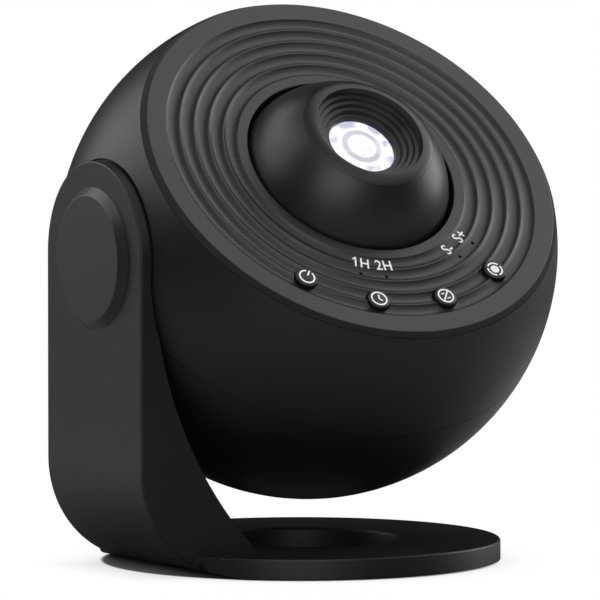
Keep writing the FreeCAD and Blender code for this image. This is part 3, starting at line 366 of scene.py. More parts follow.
def printed_white(name, colour):
    """Pad-printed ink with a slightly uneven edge density."""
    finish = Finish(name)
    cloud = finish.noise(0.35, 2.0)
    tint = finish.mix_colour(cloud, shade(colour, 0.94), rgba(colour))
    return finish.surface(Base_Color=tint, Roughness=0.5 + cloud * 0.1, Normal=finish.bump(cloud, 0.2, 0.01))


def painted_glow_window(name):
    """Painted glow on the window in place of the inner lamp's light: a bright disc, a faint ring and bluish
    patches by the edge.
    """
    finish = Finish(name)
    radius, local = finish.axis_distance()
    patches = finish.noise(3.2, 2.0, 0.5, local)
    stars = finish.noise(0.7, 3.0, 0.7, local)
    middle = radius.band(*GLOW_DISC) * ((stars - 0.48) * 6).at_least(0.0).at_most(0.8)
    ring = (radius.band(*GLOW_RING) * (0.5 + stars)).at_most(1.0)
    edge = radius.band(*GLOW_EDGE) * ((patches - 0.42) * 6).at_least(0.0).at_most(1.0)
    inner = finish.mix_colour(middle, (1.0, 1.0, 1.0, 1.0), (0.66, 0.67, 0.74, 1.0))
    base = finish.mix_colour(ring, inner, (0.52, 0.53, 0.62, 1.0))
    glow = finish.mix_colour(edge, base, (0.56, 0.57, 0.74, 1.0))
    return finish.surface(Base_Color=(0.05, 0.05, 0.055, 1.0), Roughness=0.08, Emission_Color=glow,
                          Emission_Strength=1.0)


def metal(name, colour, roughness, brushed_mm):
    """Bare metal with a fine uneven lay."""
    finish = Finish(name)
    lay = finish.noise(brushed_mm, 4.0, 0.6)
    tint = finish.mix_colour(lay, shade(colour, 0.88), shade(colour, 1.06))
    return finish.surface(Base_Color=tint, Metallic=1.0, Roughness=roughness + (lay - 0.5) * 0.14,
                          Normal=finish.bump(lay, 0.25, 0.02))


def clear_glass(name, colour):
    """Clear glass with a faint uneven film."""
    finish = Finish(name)
    film = finish.noise(6.0, 2.0)
    return finish.surface(Base_Color=rgba(colour), Roughness=0.03 + film * 0.03, Transmission_Weight=1.0,
                          IOR=1.5)


def circuit_board(name, colour):
    """Solder mask with buried tracks that show as paler lanes."""
    finish = Finish(name)
    sockets = {"Vector": finish.place, "Scale": 90.0, "Mortar Size": 0.012, "Color1": rgba(colour),
               "Color2": shade(colour, 0.8), "Mortar": shade(colour, 1.8)}
    lanes = finish.node("ShaderNodeTexBrick", {}, sockets)
    return finish.surface(Base_Color=lanes, Roughness=0.35 + finish.noise(2.0) * 0.1)


def arc(centre_r, centre_h, radius, start, end, count):
    """Points on a round stretch of an outline, angles in degrees from the radial direction."""
    points = []
    for i in range(count + 1):
        a = math.radians(start + (end - start) * i / count)
        points.append((centre_r + radius * math.cos(a), centre_h + radius * math.sin(a), 0.0))
    return points


def lathe(outline, steps=SPIN_STEPS):
    """Spins an outline of (radius, height, corner round) about Z. It closes itself off the axis."""
    bm = bmesh.new()
    verts = [bm.verts.new((r * MM, 0, h * MM)) for r, h, _ in outline]
    for a, b in zip(verts, verts[1:]):
        bm.edges.new((a, b))
    if outline[0][0] > 0 or outline[-1][0] > 0:
        bm.edges.new((verts[-1], verts[0]))
    for vert, (_, _, corner) in zip(verts, outline):
        if corner:
            bmesh.ops.bevel(bm, geom=[vert], offset=corner * MM, offset_type="OFFSET",
                            segments=ROUND_SEGMENTS, profile=0.5, affect="VERTICES", material=-1)
    bmesh.ops.spin(bm, geom=bm.verts[:] + bm.edges[:], cent=(0, 0, 0), axis=(0, 0, 1), dvec=(0, 0, 0),
                   angle=FULL_TURN, steps=steps, use_merge=True, use_duplicate=False)
    bmesh.ops.remove_doubles(bm, verts=bm.verts, dist=1e-7)
    bmesh.ops.recalc_face_normals(bm, faces=bm.faces)
    return bm


def smooth_edges(bm):
    """Shades every face smooth and marks the sharp edges."""
    for face in bm.faces:
        face.smooth = True
    for edge in bm.edges:
        edge.smooth = edge.calc_face_angle(0.0) < SHARP_ANGLE


def put(bm, name, placement, material, body, replaced=(), weighted=True):
    """Turns a bmesh into a piece that rides on a body."""
    bmesh.ops.transform(bm, matrix=placement, verts=bm.verts)
    smooth_edges(bm)
    mesh = bpy.data.meshes.new(name)
    bm.to_mesh(mesh)
    bm.free()
    mesh.materials.append(material)
    piece = bpy.data.objects.new(name, mesh)
    bpy.context.scene.collection.objects.link(piece)
    if weighted:
        normals = piece.modifiers.new("even_normals", "WEIGHTED_NORMAL")
        normals.keep_sharp = True
    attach(piece, body)
    if replaced:
        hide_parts(*replaced)


def carve(bm, cutters):
    """Cuts closed bmesh cutters out of a closed bmesh and gives back the result."""
    scene = bpy.context.scene.collection
    blank = bpy.data.objects.new("blank", bpy.data.meshes.new("blank"))
    bm.to_mesh(blank.data)
    bm.free()
    scene.objects.link(blank)
    tools = []
    for cutter in cutters:
        tool = bpy.data.objects.new("tool", bpy.data.meshes.new("tool"))
        cutter.to_mesh(tool.data)
        cutter.free()
        scene.objects.link(tool)
        cut = blank.modifiers.new("cut", "BOOLEAN")
        cut.operation = "DIFFERENCE"
        cut.solver = "EXACT"
        cut.object = tool
        tools.append(tool)
    bpy.context.view_layer.update()
    graph = bpy.context.evaluated_depsgraph_get()
    result = bmesh.new()
    result.from_mesh(blank.evaluated_get(graph).to_mesh())
    for used in tools + [blank]:
        bpy.data.objects.remove(used)
    return result


def dress(node, material):
    """A merged, smoothly shaded copy of a CAD node that stands for it."""
    source = frame["nodes"][node]
    bm = bmesh.new()
    bm.from_mesh(source.data)
    bmesh.ops.remove_doubles(bm, verts=bm.verts, dist=1e-6)
    put(bm, node + "_skin", Matrix.Identity(4), material, source["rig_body"], (node,))


def on_ring(radius, angle, height):
    """A frame on the face: its Y axis points to the lens axis and its Z axis out of the face."""
    a = math.radians(angle)
    out = Vector((math.cos(a), math.sin(a), 0))
    up = -out
    right = up.cross(Vector((0, 0, 1)))
    place = Matrix((right, up, Vector((0, 0, 1)))).transposed().to_4x4()
    place.translation = out * radius * MM + Vector((0, 0, height * MM))
    return place


def dish(half_width, depth):
    """The radius of a round dish or crown with a half width and a depth."""
    return (half_width ** 2 + depth ** 2) / (2 * depth)


def groove(i):
    """A groove's middle radius and its half width."""
    return FIRST_CREST_R + GROOVE_PITCH * (i + 0.5), (GROOVE_PITCH - CREST) / 2


def groove_height(radius):
    """The face's height at a radius, in the scalloped zone."""
    for i in range(GROOVES):
        middle, half = groove(i)
        if abs(radius - middle) < half:
            round_r = dish(half, GROOVE_DEPTH)
            return FACE_H - GROOVE_DEPTH + round_r - math.sqrt(round_r ** 2 - (radius - middle) ** 2)
    return FACE_H


def on_grooves(point):
    """Slides a point along the reading direction until it lies just over the grooves."""
    near = 0.0
    far = GROOVE_DEPTH * MM / -READING_WAY.z
    for _ in range(20):
        middle = (near + far) / 2
        at = point + READING_WAY * middle
        if at.z > groove_height(at.xy.length / MM) * MM:
            near = middle
        else:
            far = middle
    return point + READING_WAY * near + Vector((0, 0, MARK_LIFT * MM))


class ProjectorFinishes(bpy.types.PropertyGroup):
    """Colours and roughness of the outer parts"""
    body_colour: FloatVectorProperty(name="Body", description="Colour of the ball and the stand",
                                     subtype="COLOR", default=(0.006, 0.006, 0.0065), min=0, max=1)
    face_colour: FloatVectorProperty(name="Face", description="Colour of the ringed face", subtype="COLOR",
                                     default=(0.01, 0.01, 0.0105), min=0, max=1)
    nose_colour: FloatVectorProperty(name="Nose", description="Colour of the dome and the funnel",
                                     subtype="COLOR", default=(0.008, 0.008, 0.0085), min=0, max=1)
    mark_colour: FloatVectorProperty(name="Marks", description="Colour of the printed marks", subtype="COLOR",
                                     default=(0.86, 0.87, 0.88), min=0, max=1)
    body_roughness: FloatProperty(name="Body roughness", description="Roughness of the body plastic",
                                  default=0.42, min=0, max=1, subtype="FACTOR")


class ProjectorStage(bpy.types.PropertyGroup):
    """Floor and camera"""
    floor_size: FloatProperty(name="Floor", description="Side of the square floor", default=14.0,
                              unit="LENGTH")
    focal_length: FloatProperty(name="Lens", description="Camera focal length in millimetres", default=720.9,
                                unit="CAMERA")


FINISHES = {}


def finishes():
    """Every material, made once."""
    if FINISHES:
        return FINISHES
    choice = bpy.context.scene.projector_finishes
    rough = choice.body_roughness
    FINISHES["body"] = moulded_plastic("body_plastic", choice.body_colour, rough, 1.0, 0.3)
    FINISHES["face"] = moulded_plastic("face_plastic", choice.face_colour, rough - 0.04, 1.2, 0.4, True)
    FINISHES["nose"] = moulded_plastic("nose_plastic", choice.nose_colour, rough - 0.04, 0.8, 0.35)
    FINISHES["cap"] = moulded_plastic("cap_plastic", choice.body_colour, rough - 0.05, 0.7, 0.35)
    FINISHES["button"] = moulded_plastic("button_plastic", choice.body_colour, rough, 0.6, 0.35)
    FINISHES["inner"] = moulded_plastic("inner_plastic", (0.05, 0.05, 0.052), 0.55, 1.0)
    FINISHES["component"] = moulded_plastic("component_plastic", (0.03, 0.03, 0.032), 0.4, 0.8)
    FINISHES["bearing"] = moulded_plastic("bearing_plastic", (0.75, 0.74, 0.69), 0.4, 0.6)
    FINISHES["sleeve"] = moulded_plastic("lead_sleeve", (0.45, 0.02, 0.02), 0.35, 0.4)
    FINISHES["rubber"] = moulded_plastic("foot_rubber", (0.02, 0.02, 0.02), 0.8, 1.5, 0.2)
    FINISHES["pipe"] = moulded_plastic("smoked_pipe", (0.004, 0.004, 0.004), 0.2, 0.2)
    FINISHES["mark"] = printed_white("printed_marks", choice.mark_colour)
    FINISHES["emitter"] = printed_white("lamp_emitter", (0.9, 0.88, 0.6))
    # The window's glow is painted on as emission; the lamp inside gives it no light
    FINISHES["window"] = painted_glow_window("painted_glow_window")
    FINISHES["steel"] = metal("zinc_steel", (0.6, 0.6, 0.61), 0.3, 0.5)
    FINISHES["ballast"] = metal("ballast_steel", (0.42, 0.42, 0.43), 0.45, 1.5)
    FINISHES["aluminium"] = metal("bead_aluminium", (0.78, 0.79, 0.8), 0.4, 0.4)
    FINISHES["glass"] = clear_glass("clear_glass", (0.95, 0.97, 0.98))
    FINISHES["film"] = moulded_plastic("slide_film", (0.02, 0.025, 0.06), 0.15, 0.1)
    FINISHES["board"] = circuit_board("circuit_board", (0.01, 0.11, 0.04))
    return FINISHES


class PROJECTOR_OT_ball(bpy.types.Operator):
    """The two shells of the ball, which meet at the seam, with the pocket for the arm"""
    bl_idname = "projector.ball"
    bl_label = "Ball shells"

    def zone(self, low, high):
        """The ball's skin between two heights on the lens axis, with its wall."""
        start = math.degrees(math.asin(POCKET_MOUTH / BALL_R))
        outline = [(HUB_HOLE_R, POCKET_DEPTH, 0.0), (POCKET_R, POCKET_DEPTH, 0.0),
                   (POCKET_R, POCKET_MOUTH, 0.0)]
        outline += arc(0, 0, BALL_R, start, -90, BALL_STEPS)[1:]
        bm = bmesh.new()
        verts = [bm.verts.new((r * MM, 0, h * MM)) for r, h, _ in outline]
        for a, b in zip(verts, verts[1:]):
            bm.edges.new((a, b))
        bmesh.ops.spin(bm, geom=bm.verts[:] + bm.edges[:], cent=(0, 0, 0), axis=(0, 0, 1), dvec=(0, 0, 0),
                       angle=FULL_TURN, steps=SPIN_STEPS, use_merge=True, use_duplicate=False)
        bmesh.ops.remove_doubles(bm, verts=bm.verts, dist=1e-7)
        bmesh.ops.transform(bm, matrix=Matrix.Rotation(-math.pi / 2, 4, "Y"), verts=bm.verts)
        bmesh.ops.recalc_face_normals(bm, faces=bm.faces)
        for height, keep_above in ((low, True), (high, False)):
            bmesh.ops.bisect_plane(bm, geom=bm.verts[:] + bm.edges[:] + bm.faces[:], dist=1e-7,
                                   plane_co=(0, 0, height * MM), plane_no=(0, 0, 1),
                                   clear_inner=keep_above, clear_outer=not keep_above)
        outward = sum(f.normal.dot(f.calc_center_median()) for f in bm.faces)
        if outward < 0:
            bmesh.ops.reverse_faces(bm, faces=bm.faces)
        rims = [e for e in bm.edges if e.is_boundary]
        walls = bmesh.ops.extrude_edge_only(bm, edges=rims)
        moved = [g for g in walls["geom"] if isinstance(g, bmesh.types.BMVert)]
        for vert in moved:
            if abs(vert.co.x + POCKET_DEPTH * MM) < 1e-6:
                vert.co.x += BALL_WALL * MM
            else:
                vert.co *= 1 - BALL_WALL / BALL_R
        seam = [e for e in rims if abs(abs(e.verts[0].co.z - SEAM_H * MM) - SEAM_GAP / 2 * MM) < 1e-6]
        bmesh.ops.bevel(bm, geom=seam, offset=SEAM_ROUND * MM, offset_type="OFFSET", segments=ROUND_SEGMENTS,
                        profile=0.5, affect="EDGES", material=-1)
        return bm

    def execute(self, context):
        front = self.zone(SEAM_H + SEAM_GAP / 2, RIM_FOOT_H - RIM_GAP)
        put(front, "front_shell_skin", HEAD, finishes()["body"], "head", ("front_shell",),
            weighted=False)
        dress("rear_shell", finishes()["body"])
        return {"FINISHED"}


class PROJECTOR_OT_face(bpy.types.Operator):
    """The flat face with its five scalloped rings and the holes for the buttons and indicators"""
    bl_idname = "projector.face"
    bl_label = "Ringed face"

    def execute(self, context):
        outline = [(MOUTH_R, FACE_FOOT_H, 0.0), (MOUTH_R, FACE_H, 0.35)]
        for i in range(GROOVES):
            middle, half = groove(i)
            round_r = dish(half, GROOVE_DEPTH)
            sweep = math.degrees(math.asin(half / round_r))
            outline += arc(middle, FACE_H - GROOVE_DEPTH + round_r, round_r, -90 - sweep, -90 + sweep, 10)
        outline += [
            (RIM_R, FACE_H, 0.25), (RIM_FOOT_R, RIM_FOOT_H, 0.0), (PLATE_R, RIM_FOOT_H, 0.0),
            (PLATE_R, FACE_FOOT_H, 0.0),
        ]
        plate = lathe(outline)
        cutters = []
        for ring_r, radius, angles in ((BUTTON_RING_R, BUTTON_HOLE_R, BUTTON_ANGLES),
                                       (INDICATOR_RING_R, INDICATOR_R, INDICATOR_ANGLES)):
            for angle in angles:
                drill = bmesh.new()
                bmesh.ops.create_cone(drill, cap_ends=True, segments=DRILL_SIDES, radius1=radius * MM,
                                      radius2=radius * MM, depth=DRILL_DEPTH * MM)
                bmesh.ops.transform(drill, matrix=on_ring(ring_r, angle, FACE_H), verts=drill.verts)
                cutters.append(drill)
        plate = carve(plate, cutters)
        put(plate, "face_plate_skin", HEAD, finishes()["face"], "head", ("face_plate",))
        return {"FINISHED"}


def nose_steps():
    """The funnel's inner outline from its rim down to the window's edge."""
    r = NOSE_RIM_R - FIRST_STEP_IN
    h = NOSE_RIM_H - FIRST_STEP_DROP
    tread = (r - WINDOW_R) / NOSE_STEPS - RISER_SLOPE
    drop = (h - WINDOW_H) / NOSE_STEPS
    outline = [(r, h, 0.08)]
    for _ in range(NOSE_STEPS):
        r -= tread
        outline.append((r, h, 0.1))
        r -= RISER_SLOPE
        h -= drop
        outline.append((r, h, 0.08))
    outline[-1] = (WINDOW_R, WINDOW_H, 0.0)
    return outline


class PROJECTOR_OT_nose(bpy.types.Operator):
    """The convex focus dome, the stepped funnel in its nose and the lit window"""
    bl_idname = "projector.nose"
    bl_label = "Dome, funnel and window"

    def execute(self, context):
        outline = [(DOME_R - DOME_WALL, DOME_FOOT_H, 0.0), (DOME_R, DOME_FOOT_H, 0.2)]
        outline += arc(SHOULDER_AT[0], SHOULDER_AT[1], SHOULDER_R, 0, DOME_LEAN, 12)
        outline += arc(CROWN_AT[0], CROWN_AT[1], CROWN_R, DOME_LEAN, CROWN_END, 24)[1:]
        outline += arc(CROWN_AT[0], CROWN_AT[1], CROWN_R - DOME_WALL, CROWN_INNER_END, DOME_LEAN, 24)
        outline += arc(SHOULDER_AT[0], SHOULDER_AT[1], SHOULDER_R - DOME_WALL, DOME_LEAN, 0, 12)[1:]
        dome = lathe(outline)
        put(dome, "dome_skin", HEAD, finishes()["nose"], "focus_dial", ("dome_shell",))
        outline = [(WINDOW_SEAT_R, NOSE_FOOT_H, 0.0), (NOSE_R, NOSE_FOOT_H, 0.0)]
        outline += arc(NOSE_AT[0], NOSE_AT[1], NOSE_ROUND, NOSE_LEAN, NOSE_LIP, 12)
        outline.append((NOSE_RIM_R - 0.15, NOSE_RIM_H, 0.1))
        outline += nose_steps()
        outline += [(WINDOW_R, WINDOW_SEAT_H, 0.0), (WINDOW_SEAT_R, WINDOW_SEAT_H, 0.0)]
        funnel = lathe(outline)
        put(funnel, "funnel_skin", HEAD, finishes()["nose"], "focus_dial", ("nose_funnel",))
        crown_r = dish(GLASS_CROWN_R, GLASS_RISE)
        sweep = math.degrees(math.asin(GLASS_CROWN_R / crown_r))
        glass = [(0.0, GLASS_FOOT_H, 0.0), (GLASS_R, GLASS_FOOT_H, 0.0), (GLASS_R, GLASS_EDGE_H, 0.0),
                 (GLASS_CROWN_R, GLASS_EDGE_H, 0.0)]
        glass += arc(0, GLASS_EDGE_H + GLASS_RISE - crown_r, crown_r, 90 - sweep, 90, 12)[1:]
        glass[-1] = (0.0, GLASS_EDGE_H + GLASS_RISE, 0.0)
        put(lathe(glass), "window_skin", HEAD, finishes()["window"], "focus_dial",
            ("front_window",))
        return {"FINISHED"}


def stroke_arc(bm, radius, width, start, sweep):
    """A flat printed arc, with its middle line at a radius. Angles in degrees."""
    part = bmesh.new()
    a = math.radians(start)
    inner = radius - width / 2
    outer = radius + width / 2
    corners = []
    for r, z in ((inner, 0), (outer, 0), (outer, MARK_THICK), (inner, MARK_THICK)):
        corners.append(part.verts.new((r * math.cos(a) * MM, r * math.sin(a) * MM, z * MM)))
    for i in range(4):
        part.edges.new((corners[i], corners[(i + 1) % 4]))
    whole = abs(sweep) >= 360
    bmesh.ops.spin(part, geom=part.verts[:] + part.edges[:], cent=(0, 0, 0), axis=(0, 0, 1), dvec=(0, 0, 0),
                   angle=math.radians(sweep), steps=MARK_STEPS, use_merge=whole, use_duplicate=False)
    if not whole:
        bmesh.ops.holes_fill(part, edges=[e for e in part.edges if e.is_boundary], sides=4)
    bmesh.ops.recalc_face_normals(part, faces=part.faces)
    join(bm, part)


def stroke_bar(bm, start, end, width):
    """A flat printed bar between two points."""
    part = bmesh.new()
    a = Vector(start)
    b = Vector(end)
    bmesh.ops.create_cube(part, size=1.0)
    along = (b - a).length
    turn = math.atan2(b.y - a.y, b.x - a.x)
    place = Matrix.Translation(((a + b) / 2).to_3d() * MM + Vector((0, 0, MARK_THICK / 2 * MM)))
    place = place @ Matrix.Rotation(turn, 4, "Z")
    place = place @ Matrix.Diagonal((along * MM, width * MM, MARK_THICK * MM, 1.0))
    bmesh.ops.transform(part, matrix=place, verts=part.verts)
    join(bm, part)


def stroke_dot(bm, radius):
    """A flat printed dot in the middle."""
    part = bmesh.new()
    bmesh.ops.create_cone(part, cap_ends=True, segments=32, radius1=radius * MM, radius2=radius * MM,
                          depth=MARK_THICK * MM)
    bmesh.ops.translate(part, vec=(0, 0, MARK_THICK / 2 * MM), verts=part.verts)
    join(bm, part)


def join(bm, part):
    """Adds one bmesh to another."""
    mesh = bpy.data.meshes.new("part")
    part.to_mesh(mesh)
    part.free()
    bm.from_mesh(mesh)
    bpy.data.meshes.remove(mesh)


def mark_power(bm):
    """A ring open at the top, with a bar in the gap."""
    stroke_arc(bm, 2.0, 0.44, 90 + 24, 312)
    stroke_bar(bm, (0, 0.45), (0, 2.35), 0.44)


def mark_timer(bm):
    """A clock face with two hands."""
    stroke_arc(bm, 2.05, 0.44, 0, 360)
    stroke_bar(bm, (0, -0.15), (0, 1.3), 0.4)
    stroke_bar(bm, (-0.1, -0.1), (0.95, -0.6), 0.4)


def mark_rotation(bm):
    """A ring cut by a slanting bar, with a short bar on each side of it."""
    stroke_arc(bm, 2.05, 0.42, 0, 360)
    stroke_bar(bm, (-1.45, -1.45), (1.45, 1.45), 0.38)
    stroke_bar(bm, (-1.0, 0.85), (0.05, 0.85), 0.32)
    stroke_bar(bm, (-0.05, -0.85), (1.0, -0.85), 0.32)


def mark_light(bm):
    """A dot with three arcs around it."""
    stroke_dot(bm, 1.2)
    for start in (10, 130, 250):
        stroke_arc(bm, 1.98, 0.44, start, 100)


MARKS = {"power": mark_power, "timer": mark_timer, "rotation": mark_rotation, "light": mark_light}


class PROJECTOR_OT_buttons(bpy.types.Operator):
    """The four push buttons with their printed marks"""
    bl_idname = "projector.buttons"
    bl_label = "Buttons"

    def execute(self, context):
        for name, angle in zip(BUTTON_NAMES, BUTTON_ANGLES):
            body = "button_" + name
            cap = lathe(BUTTON_OUTLINE, steps=BUTTON_SIDES)
            put(cap, body + "_skin", HEAD @ on_ring(BUTTON_RING_R, angle, 0.0), finishes()["button"], body,
                (body,))
            mark = bmesh.new()
            MARKS[name](mark)
            put(mark, "mark_" + name, HEAD @ on_ring(BUTTON_RING_R, angle, BUTTON_TOP_H), finishes()["mark"],
                body, weighted=False)
        return {"FINISHED"}


class PROJECTOR_OT_labels(bpy.types.Operator):
    """The four short labels printed in the first groove"""
    bl_idname = "projector.labels"
    bl_label = "Labels"

    def flag(self, bm):
        """The short slanting stroke at the top of a one."""
        left = min(v.co.x for v in bm.verts)
        stroke = bmesh.ops.create_grid(bm, x_segments=1, y_segments=1, size=0.5)["verts"]
        place = Matrix.Translation((left - FLAG_OUT * MM, (LABEL_HEIGHT - FLAG_DROP) * MM, 0))
        place = place @ Matrix.Rotation(FLAG_ANGLE, 4, "Z")
        place = place @ Matrix.Diagonal((FLAG_LENGTH * MM, FLAG_WIDTH * MM, 1, 1))
        bmesh.ops.transform(bm, matrix=place, verts=stroke)

    def letters(self, context, words):
        """The outline of a few letters, centred and flat, with its strips cut for bending."""
        curve = bpy.data.curves.new("label", "FONT")
        curve.body = words
        curve.size = LABEL_HEIGHT * MM / CAPITAL_SHARE
        curve.offset = 0.015 * LABEL_HEIGHT * MM
        curve.space_character = 1.05
        lettering = bpy.data.objects.new("label", curve)
        context.scene.collection.objects.link(lettering)
        context.view_layer.update()
        graph = context.evaluated_depsgraph_get()
        bm = bmesh.new()
        bm.from_mesh(lettering.evaluated_get(graph).to_mesh())
        bpy.data.objects.remove(lettering)
        if words.startswith("1"):
            self.flag(bm)
        across = [v.co.x for v in bm.verts]
        middle = (min(across) + max(across)) / 2
        bmesh.ops.translate(bm, vec=(-middle, -LABEL_HEIGHT / 2 * MM, 0), verts=bm.verts)
        bmesh.ops.scale(bm, vec=(LABEL_WIDTH, 1, 1), verts=bm.verts)
        for step in range(-LABEL_STRIPS, LABEL_STRIPS + 1):
            bmesh.ops.bisect_plane(bm, geom=bm.verts[:] + bm.edges[:] + bm.faces[:], dist=1e-8,
                                   plane_co=(0, step * LABEL_STRIP * MM, 0), plane_no=(0, 1, 0))
        return bm

    def execute(self, context):
        for i, (words, radius, angle) in enumerate(LABELS):
            bm = self.letters(context, words)
            bmesh.ops.transform(bm, matrix=on_ring(radius, angle, FACE_H), verts=bm.verts)
            for vert in bm.verts:
                vert.co = on_grooves(vert.co)
            bmesh.ops.remove_doubles(bm, verts=bm.verts, dist=1e-7)
            skin = bmesh.ops.extrude_face_region(bm, geom=bm.faces[:])
            top = [g for g in skin["geom"] if isinstance(g, bmesh.types.BMVert)]
            bmesh.ops.translate(bm, vec=(0, 0, LABEL_THICK * MM), verts=top)
            bmesh.ops.recalc_face_normals(bm, faces=bm.faces)
            put(bm, "label_%d" % (i + 1), HEAD, finishes()["mark"], "head", weighted=False)
        return {"FINISHED"}


class PROJECTOR_OT_stand(bpy.types.Operator):
    """The arm, its ring base and the cap over the pivot"""
    bl_idname = "projector.stand"
    bl_label = "Stand"

    def execute(self, context):
        dress("stand_body", finishes()["body"])
        dress("base_cover", finishes()["body"])
        dress("rubber_feet", finishes()["rubber"])
        inner = CAP_R - CAP_RISE
        top = CAP_FACE_X + CAP_RISE
        foot = CAP_FACE_X - CAP_SPIGOT
        roof = CAP_FACE_X + CAP_HOLLOW
        outline = [(0.0, top, 0.0), (inner, top, 0.25), (CAP_R, CAP_FACE_X, 0.0), (SPIGOT_R, CAP_FACE_X, 0.0),
                   (SPIGOT_R, foot, 0.0), (HOLLOW_R, foot, 0.0), (HOLLOW_R, roof, 0.0), (0.0, roof, 0.0)]
        cap = lathe(outline, steps=CAP_SIDES)
        put(cap, "pivot_cap_skin", PIVOT, finishes()["cap"], "stand", ("pivot_cap",))
        return {"FINISHED"}


KEPT = {
    "pipe": ("light_pipes",),
    "inner": ("cam_sleeve", "dome_retainer", "objective_tube", "lens_cell", "chassis_plate",
              "condenser_housing", "condenser_spacer", "carrier_gear", "tact_switches", "motor_pinion"),
    "glass": ("objective_lens_front", "objective_lens_rear", "condenser_lens_front", "condenser_lens_rear"),
    "film": ("slide_disc",),
    "emitter": ("lamp_led", "indicator_leds"),
    "board": ("button_board", "main_board", "inlet_board"),
    "aluminium": ("lamp_board", "heat_sink", "lamp_reflector", "pivot_hub"),
    "component": ("board_parts",),
    "steel": ("cell_pins", "cell_retaining_ring", "slide_clip", "motor_shaft", "drive_motor", "shell_screws",
              "chassis_screws", "small_screws", "face_screws", "hub_screws", "pivot_snap_ring", "wave_washer",
              "base_screws", "power_inlet"),
    "ballast": ("ballast_ring",),
    "bearing": ("friction_washer", "pivot_bush"),
    "sleeve": ("wire_leads",),
}


class PROJECTOR_OT_inner_parts(bpy.types.Operator):
    """Finishes for the parts that keep their own meshes"""
    bl_idname = "projector.inner_parts"
    bl_label = "Inner parts"

    def execute(self, context):
        for finish, nodes in KEPT.items():
            for node in nodes:
                kept = frame["nodes"][node]
                for slot in kept.material_slots:
                    slot.material = finishes()[finish]
        return {"FINISHED"}


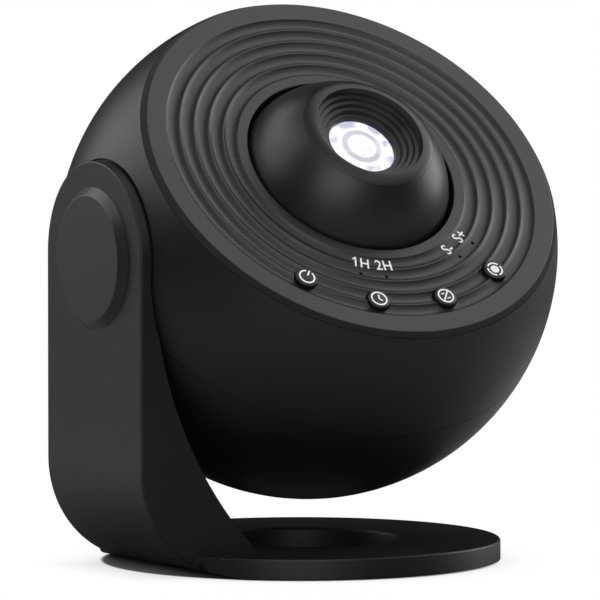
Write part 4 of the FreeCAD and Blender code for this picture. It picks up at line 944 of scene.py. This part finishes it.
class PROJECTOR_OT_stage(bpy.types.Operator):
    """Floor, background, lights and camera"""
    bl_idname = "projector.stage"
    bl_label = "Stage"

    def soft_box(self, azimuth, elevation, power):
        """A rectangular lamp that looks at the ball from a direction given as azimuth and elevation."""
        across = math.radians(azimuth)
        up = math.radians(elevation)
        way = Vector((math.sin(across) * math.cos(up), -math.cos(across) * math.cos(up), math.sin(up)))
        light = bpy.data.lights.new("soft_box", "AREA")
        light.shape = "RECTANGLE"
        light.size = BOX_WIDTH
        light.size_y = BOX_HEIGHT
        light.energy = power
        lamp = bpy.data.objects.new("soft_box", light)
        lamp.location = BALL_CENTRE + way * BOX_DISTANCE
        lamp.rotation_euler = way.to_track_quat("Z", "Y").to_euler()
        lamp.visible_camera = False
        bpy.context.scene.collection.objects.link(lamp)

    def background(self):
        """White where the camera sees it, also through glass, and as dark as the fill everywhere else."""
        world = bpy.data.worlds.new("studio")
        world.use_nodes = True
        nodes = world.node_tree.nodes
        links = world.node_tree.links
        path = nodes.new("ShaderNodeLightPath")
        seen = nodes.new("ShaderNodeMath")
        seen.operation = "MAXIMUM"
        links.new(path.outputs["Is Camera Ray"], seen.inputs[0])
        links.new(path.outputs["Is Transmission Ray"], seen.inputs[1])
        mix = nodes.new("ShaderNodeMixShader")
        links.new(seen.outputs[0], mix.inputs[0])
        for place, strength in ((1, FILL), (2, 1.0)):
            sky = nodes.new("ShaderNodeBackground")
            sky.inputs["Color"].default_value = (1, 1, 1, 1)
            sky.inputs["Strength"].default_value = strength
            links.new(sky.outputs[0], mix.inputs[place])
        links.new(mix.outputs[0], nodes["World Output"].inputs["Surface"])
        bpy.context.scene.world = world

    def floor(self, size):
        """A square floor: white for the camera, with a painted pool of light seen only in reflections,
        painted shade inside the ring's footprint and a contact shadow painted from ambient occlusion.
        """
        bm = bmesh.new()
        bmesh.ops.create_grid(bm, x_segments=1, y_segments=1, size=size / 2)
        mesh = bpy.data.meshes.new("floor")
        bm.to_mesh(mesh)
        bm.free()
        floor = bpy.data.objects.new("floor", mesh)
        bpy.context.scene.collection.objects.link(floor)
        finish = Finish("floor_paper")
        camera = finish.node("ShaderNodeLightPath", out="Is Camera Ray")
        from_ring = finish.node("ShaderNodeVectorMath", {"operation": "DISTANCE"},
                                {0: finish.place, 1: (BASE_X * MM, 0.0, 0.0)}, out="Value") / MM
        # Painted shade inside the ring's footprint
        painted_shade = from_ring.band(*PAINTED_SHADE_BAND)
        # Contact shadow painted from ambient occlusion
        open_sky = finish.node("ShaderNodeAmbientOcclusion", {}, {"Distance": CONTACT_SHADOW}, out="AO")
        paper = finish.node("ShaderNodeBsdfDiffuse", {}, {"Color": FLOOR_COLOUR})
        white = finish.node("ShaderNodeEmission", {}, {"Color": (1, 1, 1, 1), "Strength": 1.0})
        glossy = finish.node("ShaderNodeLightPath", out="Is Glossy Ray")
        # Painted pool of light on the floor, seen only in reflections
        painted_light = from_ring.band(*PAINTED_LIGHT_BAND) * FLOOR_GLOW
        seen = (camera + glossy * painted_light) * (1.0 - painted_shade * PAINTED_SHADE_DARKNESS) * (open_sky ** SHADOW_POWER)
        finish.show(finish.node("ShaderNodeMixShader", {}, {0: seen, 1: paper, 2: white}))
        mesh.materials.append(finish.material)

    def execute(self, context):
        stage = context.scene.projector_stage
        scene = context.scene
        scene.view_settings.view_transform = "Standard"
        self.background()
        self.floor(stage.floor_size)
        for lamp in SOFT_BOXES:
            self.soft_box(*lamp)
        camera = bpy.data.cameras.new("photo_camera")
        camera.lens = stage.focal_length
        camera.sensor_width = SENSOR_WIDTH
        camera.sensor_fit = "HORIZONTAL"
        camera.clip_start = 0.1
        camera.clip_end = 100.0
        viewer = bpy.data.objects.new("photo_camera", camera)
        viewer.location = CAMERA_AT
        viewer.rotation_euler = (-CAMERA_WAY).to_track_quat("Z", "Y").to_euler()
        scene.collection.objects.link(viewer)
        scene.camera = viewer
        return {"FINISHED"}


class PROJECTOR_PT_panel(bpy.types.Panel):
    """Lists the projector's pieces"""
    bl_label = "Projector"
    bl_idname = "PROJECTOR_PT_panel"
    bl_space_type = "VIEW_3D"
    bl_region_type = "UI"
    bl_category = "Projector"

    def draw(self, context):
        for group in (context.scene.projector_finishes, context.scene.projector_stage):
            for name in group.bl_rna.properties.keys():
                if name not in ("rna_type", "name"):
                    self.layout.prop(group, name)
        for operator in OPERATORS:
            self.layout.operator(operator.bl_idname)


OPERATORS = (
    PROJECTOR_OT_ball, PROJECTOR_OT_face, PROJECTOR_OT_nose, PROJECTOR_OT_buttons, PROJECTOR_OT_labels,
    PROJECTOR_OT_stand, PROJECTOR_OT_inner_parts, PROJECTOR_OT_stage,
)
CLASSES = (ProjectorFinishes, ProjectorStage) + OPERATORS + (PROJECTOR_PT_panel,)


def register():
    for made in CLASSES:
        bpy.utils.register_class(made)
    bpy.types.Scene.projector_finishes = PointerProperty(type=ProjectorFinishes)
    bpy.types.Scene.projector_stage = PointerProperty(type=ProjectorStage)


def unregister():
    del bpy.types.Scene.projector_stage
    del bpy.types.Scene.projector_finishes
    for made in reversed(CLASSES):
        bpy.utils.unregister_class(made)


def main():
    register()
    bpy.ops.projector.ball()
    bpy.ops.projector.face()
    bpy.ops.projector.nose()
    bpy.ops.projector.buttons()
    bpy.ops.projector.labels()
    bpy.ops.projector.stand()
    bpy.ops.projector.inner_parts()
    bpy.ops.projector.stage()


if __name__ == "__main__":
    main()
